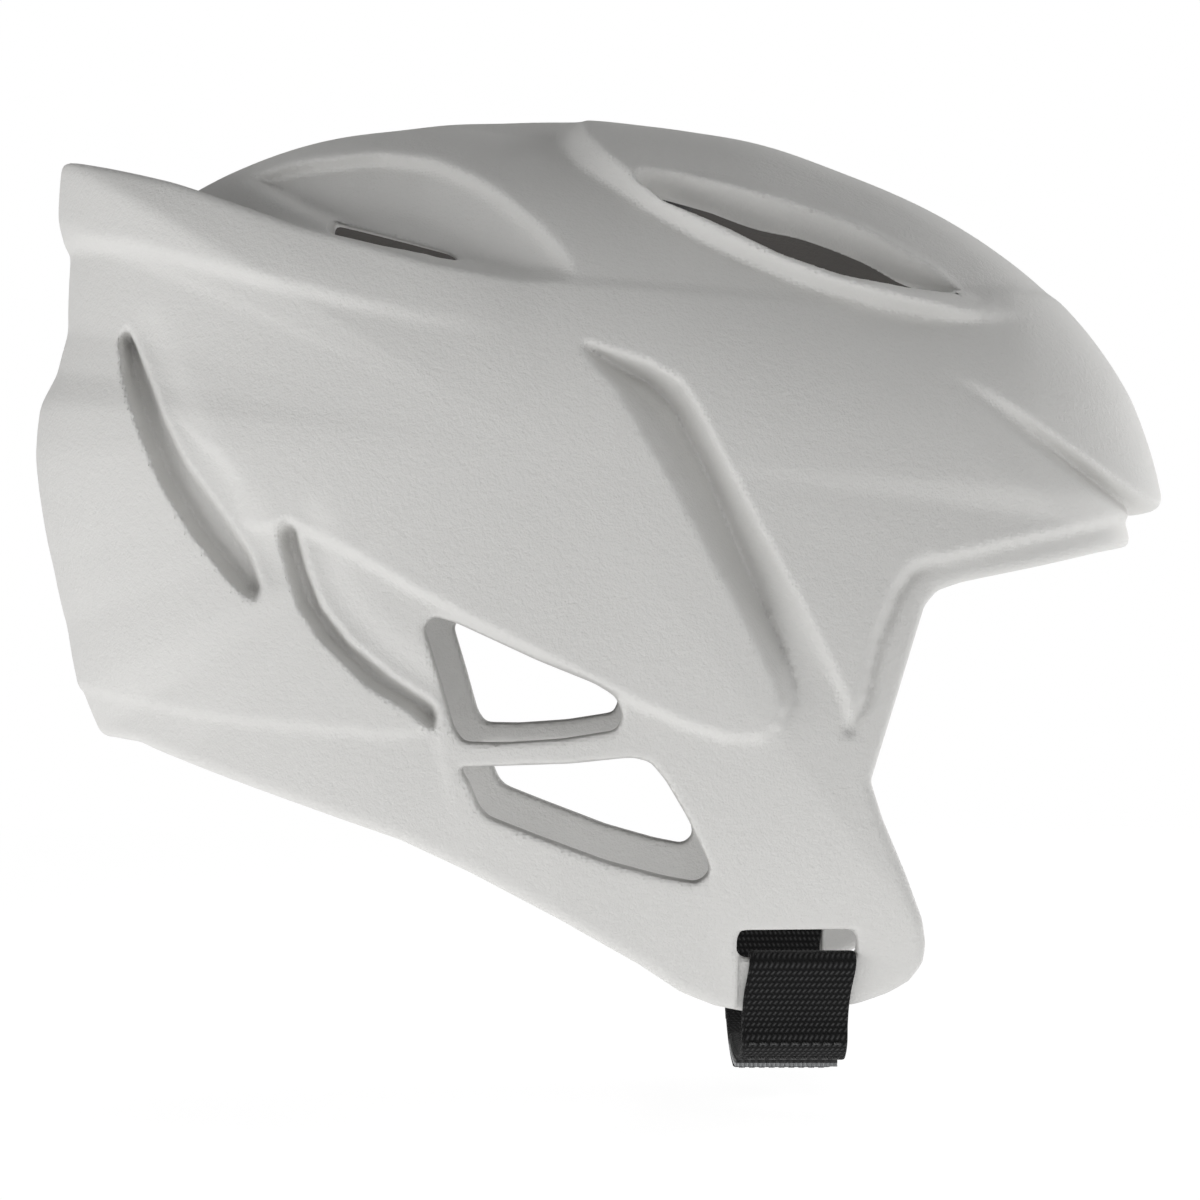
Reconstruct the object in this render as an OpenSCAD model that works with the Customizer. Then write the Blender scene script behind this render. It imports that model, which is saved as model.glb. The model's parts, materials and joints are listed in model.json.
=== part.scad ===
// Soft foam football helmet with open face, vents, ear openings and a two-part chin strap.
// The origin is the middle of the head space. +X is the front, +Y the wearer's left, +Z is up.

/* [Shell] */
// Length of the shell, front edge to nape bulge
shell_length = 280; // [265:1:300]
// Width of the shell over the ears
shell_width = 206; // [196:1:220]
// Height of the shell, crown to cheek flap
shell_height = 217; // [207:1:232]
// Foam thickness at the ears
side_wall = 14; // [12:0.5:16]
// Foam thickness at the crown
crown_wall = 13.5; // [11:0.5:16]
// Foam thickness at the brow
brow_wall = 24; // [20:1:28]
// Foam thickness at the nape bulge
nape_wall = 20; // [16:1:24]

/* [Carved surface] */
// Depth of the rim step round the face opening
rim_step = 2.5; // [1:0.5:4]
// Depth of the two curved blind slots
slot_depth = 7; // [4:0.5:9]
// Width of the two curved blind slots
slot_width = 6; // [4.5:0.5:7]
// Depth of the bevelled groove of the side panel
panel_depth = 4; // [2:0.5:6]
// Depth of the crease that runs to the brow tip
crease_depth = 4; // [2:0.5:6]
// Height of the ridge round the front vents
ridge_height = 4; // [2:0.5:5]
// Depth of the scoops at the rear of the crown, at their foot
scoop_depth = 9; // [6:0.5:10]
// Thickness of the rear lip
lip_wall = 9; // [6:0.5:12]
// Depth of the gutter inside the rear lip
gutter_depth = 9; // [5:1:12]
// Tilt of the front vents below the level
vent_tilt = 43; // [35:1:50]
// Edge radius of the ear openings
ear_edge_r = 3; // [1.5:0.5:4]

/* [Chin strap] */
// Width of the webbing
strap_width = 25; // [20:0.5:27]
// Thickness of the webbing
strap_thickness = 1.6; // [1.2:0.1:2]
// Play of the webbing at each end of its slot
strap_side_play = 1.6; // [0.8:0.2:2.4]
// Height of the strap slot
strap_slot_h = 7; // [5:0.5:8]
// Depth of the strap channel below the slot
channel_depth = 2.4; // [1.5:0.1:4]
// How far the strap hangs below the flaps
strap_drop = 20; // [14:1:26]
// Length of the overlap under the chin
strap_overlap = 48; // [36:2:60]
// Thickness of the hook tab and of the loop tape
tape_thickness = 0.9; // [0.6:0.1:1.2]
// Length of the sewn double ply below each flap
sewn_length = 10; // [8:1:14]

/* [Pads] */
// Thickness of the pads at their crown
pad_thickness = 10; // [8:0.5:12]
// Thickness of the hook patches that hold the pads
patch_thickness = 1.2; // [0.8:0.1:1.6]
// Width of the hook patches
patch_size = 24; // [18:1:30]

/* [Hidden] */

foam_grey = [0.85, 0.85, 0.83];
pad_black = [0.13, 0.13, 0.14];
tape_grey = [0.62, 0.63, 0.64];
webbing_black = [0.07, 0.07, 0.07];

// Clearances: between plies that touch, between pieces that swing, and between a pad's parts and
// the faceted wall behind them
seat_gap = 0.05;
swing_gap = 0.3;
wall_gap = 0.8;
pad_gap = 0.3;

// The outlines are drawn for a shell of this size and stretched to the wanted one
drawn_length = 280;
drawn_width = 206;
drawn_height = 217;
stretch_x = shell_length / drawn_length;
stretch_z = shell_height / drawn_height;
half_width = shell_width / 2;
side_power = 2.3;

// Where the drawn dome line meets the axes, and the far limits of the side view
drawn_front = 148;
drawn_crown = 86.5;
drawn_nape = 130;
nape_foot_z = -67;
brow_tip_z = -9.5;
far_reach = 200;

// Lengths of the cuts that run across the whole width, and to one side from beside the middle plane
across_length = 300;
side_length = 150;

// Where the vents' cuts start, and how far they run along their tilt
vent_start = 45;
vent_length = 90;

// Steps of the dome that give the floors of the valley and of the scoops on the wearer's left
valley_step = ridge_height * [0, 1.2, -1.9];
scoop_step = scoop_depth * [0, -2, 1];

// Middle line of the dome seen from the side, as [x, z] from the front round over the crown.
// Its lower half lies in the head opening and only sets how the cheeks draw in.
dome_line = [
    [148, 0], [142, 17], [138, 24], [129, 36], [120, 45], [107, 55], [94, 63], [81, 69], [68, 74],
    [55, 79], [35, 83], [20, 85], [0, 86.5], [-15, 86], [-40, 84], [-56, 82], [-70, 78], [-80, 74],
    [-95, 66], [-107, 57], [-116, 46], [-122, 34], [-125, 23], [-129, 15], [-130, 3], [-128.5, -10],
    [-125.5, -25], [-122, -40], [-119, -56], [-114, -67], [-109, -85], [-98, -117], [-67, -158],
    [0, -178], [30, -171], [53, -165], [81, -160], [94, -157], [117, -150], [131, -131], [147, -85],
    [148, -54], [146, -18], [150, -9.5]
];

// Middle line of the body that carries the rear lip
lip_line = [
    [148, 0], [142, 17], [138, 24], [129, 36], [120, 45], [107, 55], [94, 63], [81, 69], [68, 74],
    [55, 79], [35, 83], [20, 85], [0, 86.5], [-15, 87], [-34, 93], [-59, 96], [-87, 91], [-111, 84],
    [-124, 76], [-125, 60.5], [-123.5, 56.5], [-123.5, 33], [-125, 23], [-129, 15], [-130, 3],
    [-128.5, -10], [-125.5, -25], [-122, -40], [-119, -56], [-114, -67], [-109, -85], [-98, -117],
    [-67, -158], [0, -178], [30, -171], [53, -165], [81, -160], [94, -157], [117, -150],
    [131, -131], [147, -85], [148, -54], [146, -18], [150, -9.5]
];

// Middle line of the head space
head_line = [
    [drawn_front - brow_wall, 0], [drawn_front - 4 - brow_wall, 20], [108, 42], [86, 57], [56, 67],
    [20, drawn_crown - 0.5 - crown_wall], [0, drawn_crown - crown_wall], [-40, drawn_crown - 3 - crown_wall],
    [-75, 58], [-97, 38], [nape_wall - drawn_nape + 3, 20], [nape_wall - drawn_nape, 0],
    [nape_wall - drawn_nape + 2, -25], [nape_wall - drawn_nape + 7, -50],
    [-100, -67], [-98, -85], [-94, -117], [-67, -158], [0, -178], [30, -171], [53, -165],
    [81, -160], [94, -157], [117, -150], [131, -131], [140, -85], [134, -50], [129, -18]
];

// Lower edge of the shell seen from the side, from the brow tip back to the nape
lower_edge = [
    [150.5, -9.5], [146, -12], [146, -17.5], [144, -19], [130, -21.5], [114, -25], [94, -29],
    [88, -31], [85, -34.5], [82, -44], [76.5, -62], [72.5, -75], [75.5, -84], [81, -96.5],
    [85.5, -108], [86.5, -114], [86, -118.5], [83, -123], [78, -126], [71, -128.5], [57, -130.5],
    [43.5, -130], [37, -128.5], [29, -125], [19, -118], [0.5, -107], [-20, -96], [-36, -88.5],
    [-57, -81.5], [-76.5, -75], [-84, -72.5], [-96, -68.5], [-100, -67], [-108, -66.5], [-114.5, -67]
];

// Top edge of the rear lip seen from the side
lip_edge = [
    [-140, 81], [-124, 76], [-113, 72], [-90, 65], [-60, 53.5], [-31, 45.5], [-10, 42], [4, 41]
];

// Outer edge of the stepped rim, from the brow tip down to the cheek
rim_edge = [
    [152, -12.5], [140.5, -13], [127.5, -15.5], [114, -18], [98.5, -21.5], [86, -24.5], [81.5, -27],
    [78.5, -31], [76.5, -36], [74, -41.5], [72, -50], [71, -56], [67.5, -62.5], [66, -80]
];

// Bevelled groove of the side panel
panel_groove = [
    [6, 25], [17, 21.5], [25, 17.5], [30, 12.5], [41, -7], [54, -32], [65, -54], [67.5, -62.5],
    [60, -64], [47, -65], [50.5, -62.5], [52, -57], [50.5, -51], [41, -32], [27.5, -7], [18.5, 8.5],
    [13.5, 16], [7.5, 23]
];

// Crease that runs forward to the brow tip
brow_crease = [
    [89, 20.5], [101, 15], [114, 7], [130, -2.5], [151, -10], [146, -14], [130, -7], [114, 3], [94, 17]
];

// Valley below the ridge of the front vent, and the vent itself
vent_valley = [
    [2, 73.5], [5.5, 69], [21, 57.5], [33, 50], [46, 44.5], [56, 40], [75.5, 35], [94, 32.5], [104, 32.5],
    [100, 24], [80, 16], [50, 18], [24, 26], [8, 40], [-5, 60]
];
vent_outline = [
    [17, 67], [21, 69], [28, 68.5], [40, 65.5], [52.5, 62], [57, 61], [73.5, 55], [88.5, 46],
    [97, 39.5], [82, 39], [66.5, 41.5], [51.5, 46.5], [39.5, 52.5], [24, 60]
];

// Scoop at the rear of the crown and the slit along its foot
scoop_outline = [
    [-74, 69.5], [-58, 59], [-48, 54.5], [-27, 47], [-7, 43], [4, 42], [2.5, 46], [-3.5, 53], [-13, 62],
    [-19.5, 66.5], [-29, 71.5], [-42, 74], [-62, 73]
];
scoop_slit = [[-48, 54.5], [-40, 52.5], [-26, 46.5], [-24, 49], [-32, 52.5], [-42, 56]];

// Middle lines of the two curved blind slots
rear_slot_line = [[-102, 27], [-98.5, 16], [-93, 3], [-86.5, -8.5], [-79, -19.5], [-71, -29.5]];
side_slot_line = [[-61, -17.5], [-58.5, -28.5], [-52.5, -39.5], [-42.5, -50], [-30, -59.5]];

// Corners of the two ear openings, drawn inside the edge radius
upper_ear_corners = [[-27, -40], [-21, -41.5], [12, -57.5], [11.5, -60.5], [-19.5, -63]];
lower_ear_corners = [[-19, -74.5], [17.5, -72.5], [23, -77], [32.5, -93.5], [31, -95.5], [-13, -81.5]];

// Strap slot, and the bar of foam that the strap goes round
strap_x = 56;
slot_foot_z = -117;
flap_foot_z = -130.5;
slot_length = strap_width + 2 * strap_side_play;
channel_width = slot_length - 0.65 * strap_side_play;

function to_size(p) = [p[0] * stretch_x, p[1] * stretch_z];
function angle_of(p) = let (a = atan2(p[1], p[0])) a < 0 ? a + 360 : a;
function polar_table(line) = [
    for (i = [0 : len(line)])
        let (p = to_size(line[i % len(line)]))
            [i == len(line) ? 360 : angle_of(p), norm(p)]
];

dome_table = polar_table(dome_line);
lip_table = polar_table(lip_line);
head_table = polar_table(head_line);

// Distance from the middle plane to the side of a body, at a point of the side view
function side_y(table, width, x, z) =
    let (share = min(1, norm([x, z]) / lookup(angle_of([x, z]), table)))
        width * pow(1 - pow(share, side_power), 1 / side_power);

// Point where a ray from the origin leaves a body
function on_ray(table, width, d) =
    let (
        flat = norm([d[0], d[2]]) / lookup(angle_of([d[0], d[2]]), table),
        size = pow(pow(flat, side_power) + pow(abs(d[1]) / width, side_power), 1 / side_power)
    )
        d / size;

head_half_width = half_width - side_wall;

// Facets of the shell's bodies: rings from each side pole to the middle, and spokes round the side view
body_rings = 9;
body_spokes = 60;
head_rings = 9;
head_spokes = 58;

// Closed body between two mirrored side poles. Every other ring is turned by half a spoke.
module body(table, width, shrink, rings, spokes) {
    rows = 2 * rings - 1;
    function shifted(row) = abs(row - rings + 1) % 2;
    function ring_point(row, i) =
        let (
            turn = 360 * (i + shifted(row) / 2) / spokes,
            slant = 180 * (row + 1) / (2 * rings),
            share = sin(slant),
            r = lookup(turn, table) - shrink,
            side = pow(max(0, 1 - pow(share, side_power)), 1 / side_power),
            sign = slant > 90 ? 1 : -1
        )
            [share * r * cos(turn), sign * (width - shrink) * side, share * r * sin(turn)];
    points = concat(
        [for (row = [0 : rows - 1]) for (i = [0 : spokes - 1]) ring_point(row, i)],
        [[0, -(width - shrink), 0], [0, width - shrink, 0]]
    );
    last = rows * spokes;
    faces = concat(
        [for (row = [0 : rows - 2]) for (i = [0 : spokes - 1])
            let (a = row * spokes, b = a + spokes, n = (i + 1) % spokes)
                each shifted(row) == 0
                    ? [[a + i, a + n, b + i], [a + n, b + n, b + i]]
                    : [[a + i, a + n, b + n], [a + i, b + n, b + i]]],
        [for (i = [0 : spokes - 1]) [last, (i + 1) % spokes, i]],
        [for (i = [0 : spokes - 1])
            [last + 1, (rows - 1) * spokes + i, (rows - 1) * spokes + (i + 1) % spokes]]
    );
    polyhedron(points, faces);
}

module dome(shrink = 0) {
    body(dome_table, half_width, shrink, body_rings, body_spokes);
}

module lip_body(shrink = 0) {
    body(lip_table, half_width, shrink, body_rings, body_spokes);
}

module head_space() {
    body(head_table, head_half_width, 0, head_rings, head_spokes);
}

// A side view shape, run across the whole width
module across() {
    translate([0, across_length / 2, 0])
        rotate([90, 0, 0])
            linear_extrude(across_length)
                children();
}

// The same on the wearer's right and left only, clear of the middle
module both_sides(from = 20) {
    for (side = [0, 1])
        mirror([0, side, 0])
            translate([0, -from, 0])
                rotate([90, 0, 0])
                    linear_extrude(side_length)
                        children();
}

module outline(line) {
    polygon([for (p = line) to_size(p)]);
}

module below_lip_edge(lower = 0) {
    polygon(concat(
        [for (p = lip_edge) to_size(p) - [0, lower]],
        [
            [far_reach, to_size(lip_edge[len(lip_edge) - 1])[1] - lower], [far_reach, -far_reach],
            [-far_reach, -far_reach]
        ]
    ));
}

module kept_side_view() {
    polygon(concat(
        [for (p = lower_edge) to_size(p)],
        [
            [-far_reach, nape_foot_z * stretch_z], [-far_reach, far_reach], [far_reach, far_reach],
            [far_reach, brow_tip_z * stretch_z]
        ]
    ));
}

// Everything of the side view below the rim's outer edge, in front of the cheeks
module rim_band() {
    last = to_size(rim_edge[len(rim_edge) - 1]);
    polygon(concat(
        [for (p = rim_edge) to_size(p)],
        [last - [0, rim_step], [far_reach, last[1] - rim_step], [far_reach, to_size(rim_edge[0])[1]]]
    ));
}

// A rounded slot along a bent line
module slot_shape(line, width) {
    for (i = [0 : len(line) - 2])
        hull() {
            translate(to_size(line[i]))
                circle(d = width, $fn = 16);
            translate(to_size(line[i + 1]))
                circle(d = width, $fn = 16);
        }
}

module rounded_corners(corners, r) {
    hull()
        for (p = corners)
            translate(to_size(p))
                circle(r = r, $fn = 20);
}

// Tilted lens opening: its side view outline is laid on the dome and drilled along the tilt
module vent_cut() {
    function across_tilt(p) =
        let (q = to_size(p))
            [q[0], q[1] * cos(vent_tilt) - side_y(dome_table, half_width, q[0], q[1]) * sin(vent_tilt)];
    for (side = [0, 1])
        mirror([0, side, 0])
            rotate([90 - vent_tilt, 0, 0])
                translate([0, 0, vent_start])
                    linear_extrude(vent_length)
                        polygon([for (p = vent_outline) across_tilt(p)]);
}

strap_face_y = side_y(dome_table, half_width, strap_x, flap_foot_z * stretch_z);
slot_face_y = side_y(dome_table, half_width, strap_x, slot_foot_z * stretch_z);
bar_back_y = side_y(head_table, head_half_width, strap_x, flap_foot_z * stretch_z);
slot_back_y = side_y(head_table, head_half_width, strap_x, slot_foot_z * stretch_z);
bar_foot_z = flap_foot_z * stretch_z;
bar_top_z = slot_foot_z * stretch_z;

// The strap turns this far below the flap's foot
hinge_drop = 3.5;

// What is cut from the faces of the foam bar for the strap: [distance from the middle, height]
module channel_section() {
    polygon([
        [slot_face_y - channel_depth, bar_top_z + strap_slot_h],
        [slot_face_y - channel_depth, bar_top_z],
        [strap_face_y - channel_depth, bar_foot_z],
        [strap_face_y - channel_depth, bar_foot_z - 2 * hinge_drop],
        [slot_face_y + strap_width, bar_foot_z - 2 * hinge_drop],
        [slot_face_y + strap_width, bar_top_z + strap_slot_h]
    ]);
    polygon([
        [slot_back_y, bar_top_z + strap_slot_h],
        [slot_back_y, bar_top_z],
        [bar_back_y, bar_foot_z],
        [bar_back_y, bar_foot_z - 2 * hinge_drop],
        [bar_back_y - strap_width, bar_foot_z - 2 * hinge_drop],
        [bar_back_y - strap_width, bar_top_z + strap_slot_h]
    ]);
}

// Runs a section, drawn as [distance from the middle, height], along X at the strap's place
module at_strap(length) {
    translate([strap_x - length / 2, 0, 0])
        rotate([90, 0, 90])
            linear_extrude(length)
                children();
}

module strap_slot_cut() {
    for (side = [0, 1])
        mirror([0, side, 0]) {
            translate([strap_x, 0, bar_top_z + strap_slot_h / 2])
                rotate([90, 0, 0])
                    linear_extrude(side_length)
                        hull()
                            for (end = [-1, 1], level = [-1, 1])
                                translate([
                                    end * (slot_length / 2 - strap_side_play),
                                    level * (strap_slot_h / 2 - strap_side_play)
                                ])
                                    circle(r = strap_side_play, $fn = 24);
            mirror([0, 1, 0])
                at_strap(channel_width)
                    channel_section();
        }
}

// A carved area whose floor is the dome moved by a step, drawn for the wearer's left, so that it sinks
// most where the dome faces against the step
module sunk_floor(line, step, from) {
    difference() {
        both_sides(from) outline(line);
        for (side = [0, 1])
            mirror([0, side, 0])
                intersection() {
                    translate(step)
                        dome();
                    translate([-far_reach, 0, -far_reach])
                        cube([2 * far_reach, far_reach, 2 * far_reach]);
                }
    }
}

module foam_shell() {
    color(foam_grey)
        difference() {
            intersection() {
                union() {
                    dome();
                    intersection() {
                        lip_body();
                        across() below_lip_edge(gutter_depth);
                    }
                    difference() {
                        intersection() {
                            lip_body();
                            across() below_lip_edge();
                        }
                        lip_body(lip_wall);
                    }
                }
                across() kept_side_view();
            }
            head_space();
            difference() {
                across() rim_band();
                dome(rim_step);
            }
            difference() {
                across() outline(brow_crease);
                dome(crease_depth);
            }
            difference() {
                both_sides(30) outline(panel_groove);
                dome(panel_depth);
            }
            sunk_floor(vent_valley, valley_step, 14);
            sunk_floor(scoop_outline, scoop_step, 20);
            both_sides(20) outline(scoop_slit);
            difference() {
                both_sides(30) slot_shape(rear_slot_line, slot_width);
                dome(slot_depth);
            }
            difference() {
                both_sides(30) slot_shape(side_slot_line, slot_width);
                dome(slot_depth);
            }
            both_sides(20) rounded_corners(upper_ear_corners, ear_edge_r);
            both_sides(20) rounded_corners(lower_ear_corners, ear_edge_r);
            vent_cut();
            strap_slot_cut();
        }
}

// Pads and hook patches are laid on the wall of the head space, round a middle direction.
// reach holds the half sizes across and up, as shares of the distance to the wall.
function wall_frame(turn, rise) =
    let (
        out = [cos(turn) * cos(rise), sin(turn) * cos(rise), sin(rise)],
        over = [-sin(turn), cos(turn), 0]
    )
        [out, over, cross(out, over)];

function wall_point(frame, a, b, depth) =
    let (
        d = frame[0] + a * frame[1] + b * frame[2],
        p = on_ray(head_table, head_half_width, d)
    )
        p * (1 - depth / norm(p));

// Square to round: a rounded rectangle in the unit square
function soft_square(u, v) =
    let (keep = 0.62)
        [u * sqrt(1 - (1 - keep) * v * v), v * sqrt(1 - (1 - keep) * u * u)];

// A crowned cushion with drawn-in sides and one sewn channel across each way
module wall_pad(turn, rise, reach_a, reach_b, back, thick, steps_a, steps_b, channels) {
    frame = wall_frame(turn, rise);
    na = steps_a + 1;
    nb = steps_b + 1;
    function spot(i, j) = soft_square(2 * i / steps_a - 1, 2 * j / steps_b - 1);
    function edge(i, j) = i == 0 || j == 0 || i == steps_a || j == steps_b;
    function crown(i, j) =
        let (
            u = 2 * i / steps_a - 1,
            v = 2 * j / steps_b - 1,
            swell = pow((1 - pow(u, 4)) * (1 - pow(v, 4)), 0.45),
            furrow = channels ? 0.4 * (exp(-pow(u / 0.09, 2)) + exp(-pow(v / 0.12, 2))) : 0
        )
            thick * (0.45 + 0.55 * swell * (1 - min(0.5, furrow)));
    function front(i, j) =
        let (s = spot(i, j))
            wall_point(frame, reach_a * 0.97 * s[0], reach_b * 0.97 * s[1], back + crown(i, j));
    function rear(i, j) =
        let (s = spot(i, j))
            wall_point(frame, reach_a * 0.97 * s[0], reach_b * 0.97 * s[1], back);
    function waist(i, j) =
        let (s = spot(i, j))
            wall_point(frame, reach_a * s[0], reach_b * s[1], back + 0.25 * thick);
    rim = concat(
        [for (i = [0 : steps_a - 1]) [i, 0]], [for (j = [0 : steps_b - 1]) [steps_a, j]],
        [for (i = [steps_a : -1 : 1]) [i, steps_b]], [for (j = [steps_b : -1 : 1]) [0, j]]
    );
    count = na * nb;
    rims = len(rim);
    points = concat(
        [for (j = [0 : steps_b]) for (i = [0 : steps_a]) front(i, j)],
        [for (j = [0 : steps_b]) for (i = [0 : steps_a]) rear(i, j)],
        [for (r = rim) waist(r[0], r[1])]
    );
    function at(i, j) = j * na + i;
    faces = concat(
        [for (j = [0 : steps_b - 1]) for (i = [0 : steps_a - 1])
            [at(i, j), at(i + 1, j), at(i, j + 1)]],
        [for (j = [0 : steps_b - 1]) for (i = [0 : steps_a - 1])
            [at(i + 1, j), at(i + 1, j + 1), at(i, j + 1)]],
        [for (j = [0 : steps_b - 1]) for (i = [0 : steps_a - 1])
            [count + at(i, j), count + at(i, j + 1), count + at(i + 1, j)]],
        [for (j = [0 : steps_b - 1]) for (i = [0 : steps_a - 1])
            [count + at(i + 1, j), count + at(i, j + 1), count + at(i + 1, j + 1)]],
        [for (k = [0 : rims - 1])
            let (a = rim[k], b = rim[(k + 1) % rims], m = 2 * count + k, n = 2 * count + (k + 1) % rims)
                each [
                    [at(a[0], a[1]), m, at(b[0], b[1])], [at(b[0], b[1]), m, n],
                    [m, count + at(a[0], a[1]), n], [n, count + at(a[0], a[1]), count + at(b[0], b[1])]
                ]]
    );
    polyhedron(points, faces);
}

// A thin rounded patch on the wall of the head space
module wall_patch(turn, rise, half_a, half_b) {
    frame = wall_frame(turn, rise);
    reach = norm(on_ray(head_table, head_half_width, frame[0]));
    steps = 24;
    function ring(share, depth) = [
        for (k = [0 : steps - 1])
            let (
                c = cos(360 * k / steps),
                s = sin(360 * k / steps),
                u = sign(c) * pow(abs(c), 0.5),
                v = sign(s) * pow(abs(s), 0.5)
            )
                wall_point(frame, share * half_a / reach * u, share * half_b / reach * v, depth)
    ];
    front = wall_gap + patch_thickness;
    points = concat(
        ring(1, wall_gap), ring(0.5, wall_gap), ring(1, front), ring(0.5, front),
        [wall_point(frame, 0, 0, wall_gap), wall_point(frame, 0, 0, front)]
    );
    faces = [
        for (k = [0 : steps - 1])
            let (n = (k + 1) % steps)
                each [
                    [k, steps + k, n], [n, steps + k, steps + n], [steps + k, 4 * steps, steps + n],
                    [2 * steps + k, 2 * steps + n, 3 * steps + k],
                    [2 * steps + n, 3 * steps + n, 3 * steps + k],
                    [3 * steps + k, 3 * steps + n, 4 * steps + 1],
                    [k, n, 2 * steps + k], [n, 2 * steps + n, 2 * steps + k]
                ]
    ];
    polyhedron(points, faces);
}

pad_back = wall_gap + patch_thickness + pad_gap;

module brow_pad() {
    color(pad_black) wall_pad(0, 12, 0.5, 0.17, pad_back, pad_thickness, 16, 8, false);
}

module crown_pad() {
    color(pad_black) wall_pad(0, 88, 0.42, 0.5, pad_back, pad_thickness, 14, 14, true);
}

module rear_pad() {
    color(pad_black) wall_pad(180, -8, 0.5, 0.34, pad_back, pad_thickness, 16, 10, true);
}

module side_pad() {
    wall_pad(-90, 8, 0.52, 0.22, pad_back, pad_thickness * 0.8, 14, 8, true);
}

module right_side_pad() {
    color(pad_black) side_pad();
}

module left_side_pad() {
    color(pad_black) mirror([0, 1, 0]) side_pad();
}

module jaw_pad() {
    wall_pad(-55, -41, 0.14, 0.13, pad_back, pad_thickness * 0.7, 10, 8, false);
}

module right_jaw_pad() {
    color(pad_black) jaw_pad();
}

module left_jaw_pad() {
    color(pad_black) mirror([0, 1, 0]) jaw_pad();
}

module brow_hook_patches() {
    color(tape_grey)
        for (turn = [-13, 13])
            wall_patch(turn, 15, patch_size / 2, patch_size / 4);
}

module crown_hook_patches() {
    color(tape_grey)
        for (turn = [0, 180])
            wall_patch(turn, 75, patch_size / 2, patch_size / 2);
}

module rear_hook_patches() {
    color(tape_grey)
        for (turn = [165, 195])
            wall_patch(turn, -8, patch_size / 2, patch_size / 2);
}

module side_hook_patch() {
    wall_patch(-90, 8, patch_size, patch_size / 3);
}

module right_side_hook_patch() {
    color(tape_grey) side_hook_patch();
}

module left_side_hook_patch() {
    color(tape_grey) mirror([0, 1, 0]) side_hook_patch();
}

module jaw_hook_patch() {
    wall_patch(-55, -41, patch_size / 3, patch_size / 3);
}

module right_jaw_hook_patch() {
    color(tape_grey) jaw_hook_patch();
}

module left_jaw_hook_patch() {
    color(tape_grey) mirror([0, 1, 0]) jaw_hook_patch();
}

// Strap sections are drawn as [distance from the middle, height]
half_ply = strap_thickness / 2;
hinge_y = (strap_face_y + bar_back_y) / 2;
hinge_z = bar_foot_z - hinge_drop;
fold_r = 0.95 * strap_thickness;
layer_step = strap_thickness + 2 * tape_thickness + 2 * seat_gap + swing_gap;
low_depth = strap_drop - half_ply - hinge_drop;
high_depth = low_depth - layer_step;

// Middle of a ply at a turn from the hinge (0) to the middle of the chin (90)
function sag(depth, turn) = [hinge_y * cos(turn), hinge_z - depth * sin(turn)];
function sag_normal(depth, turn) =
    let (n = [depth * cos(turn), -hinge_y * sin(turn)])
        n / norm(n);
function sag_line(depth, start, end, offset, steps = 24) = [
    for (k = [0 : steps])
        let (turn = start + (end - start) * k / steps)
            sag(depth, turn) + offset * sag_normal(depth, turn)
];

module sag_band(depth, start, end, inner, outer) {
    there = sag_line(depth, start, end, inner);
    back = sag_line(depth, start, end, outer);
    polygon(concat(there, [for (k = [len(back) - 1 : -1 : 0]) back[k]]));
}

// Turn that a ply reaches after a given length from its start
function turn_after(depth, start, length) =
    length <= 0
        ? start
        : turn_after(depth, start + 0.5, length - norm(sag(depth, start + 0.5) - sag(depth, start)));

overlap_turn = asin(strap_overlap / 2 / hinge_y);
fold_turn = 1.5;
start_turn = 6;
sewn_turn = turn_after(low_depth, start_turn, sewn_length);

// Turns at which rows of stitches lie
stitch_inset = 3;
sewn_rows = [start_turn + stitch_inset, sewn_turn - stitch_inset];
tab_rows = [90 - overlap_turn + stitch_inset, 90 - stitch_inset];

// The webbing goes up the outer face of the foam bar, through the slot and down behind it, and its
// two plies meet in a rounded fold below the bar
module loop_section() {
    t = strap_thickness;
    face_foot = [strap_face_y - channel_depth + seat_gap, bar_foot_z];
    face_top = [slot_face_y - channel_depth + seat_gap, bar_top_z];
    back_top = [slot_back_y - seat_gap, bar_top_z];
    back_foot = [bar_back_y - seat_gap, bar_foot_z];
    difference() {
        union() {
            polygon([
                [hinge_y + fold_r, hinge_z], face_foot + [t, 0], face_top + [t, 0.4 * t],
                face_top + [0.5 * t, seat_gap + t], back_top + [-0.5 * t, seat_gap + t],
                back_top + [-t, 0.4 * t], back_foot - [t, 0], [hinge_y - fold_r, hinge_z]
            ]);
            translate([hinge_y, hinge_z])
                circle(r = fold_r, $fn = 20);
        }
        polygon([
            face_foot - [0, seat_gap], face_top + [0, seat_gap], back_top + [0, seat_gap],
            back_foot - [0, seat_gap], [hinge_y, hinge_z + fold_r]
        ]);
    }
}

module strap_loop() {
    mirror([0, 1, 0])
        at_strap(strap_width)
            loop_section();
}

module right_strap_loop() {
    color(webbing_black) strap_loop();
}

module left_strap_loop() {
    color(webbing_black) mirror([0, 1, 0]) strap_loop();
}

// Strap that starts at the fold as a sewn double ply and runs as a single ply to its end
module strap_section(depth, end) {
    difference() {
        union() {
            sag_band(depth, fold_turn, end, -half_ply, half_ply);
            sag_band(depth, start_turn, sewn_turn, 0, half_ply + strap_thickness);
        }
        translate([hinge_y, hinge_z])
            circle(r = fold_r + swing_gap, $fn = 20);
    }
}

module right_strap() {
    color(webbing_black)
        mirror([0, 1, 0])
            at_strap(strap_width)
                strap_section(high_depth, 90 + overlap_turn);
}

module left_strap() {
    color(webbing_black)
        at_strap(strap_width)
            strap_section(low_depth, 90);
}

// A layer of tape over the whole overlap under the chin
module overlap_band(depth, inner) {
    sag_band(depth, 90 - overlap_turn, 90 + overlap_turn, inner, inner + tape_thickness);
}

module strap_hook_tab() {
    color(tape_grey)
        at_strap(strap_width)
            overlap_band(low_depth, -half_ply - seat_gap - tape_thickness);
}

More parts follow.
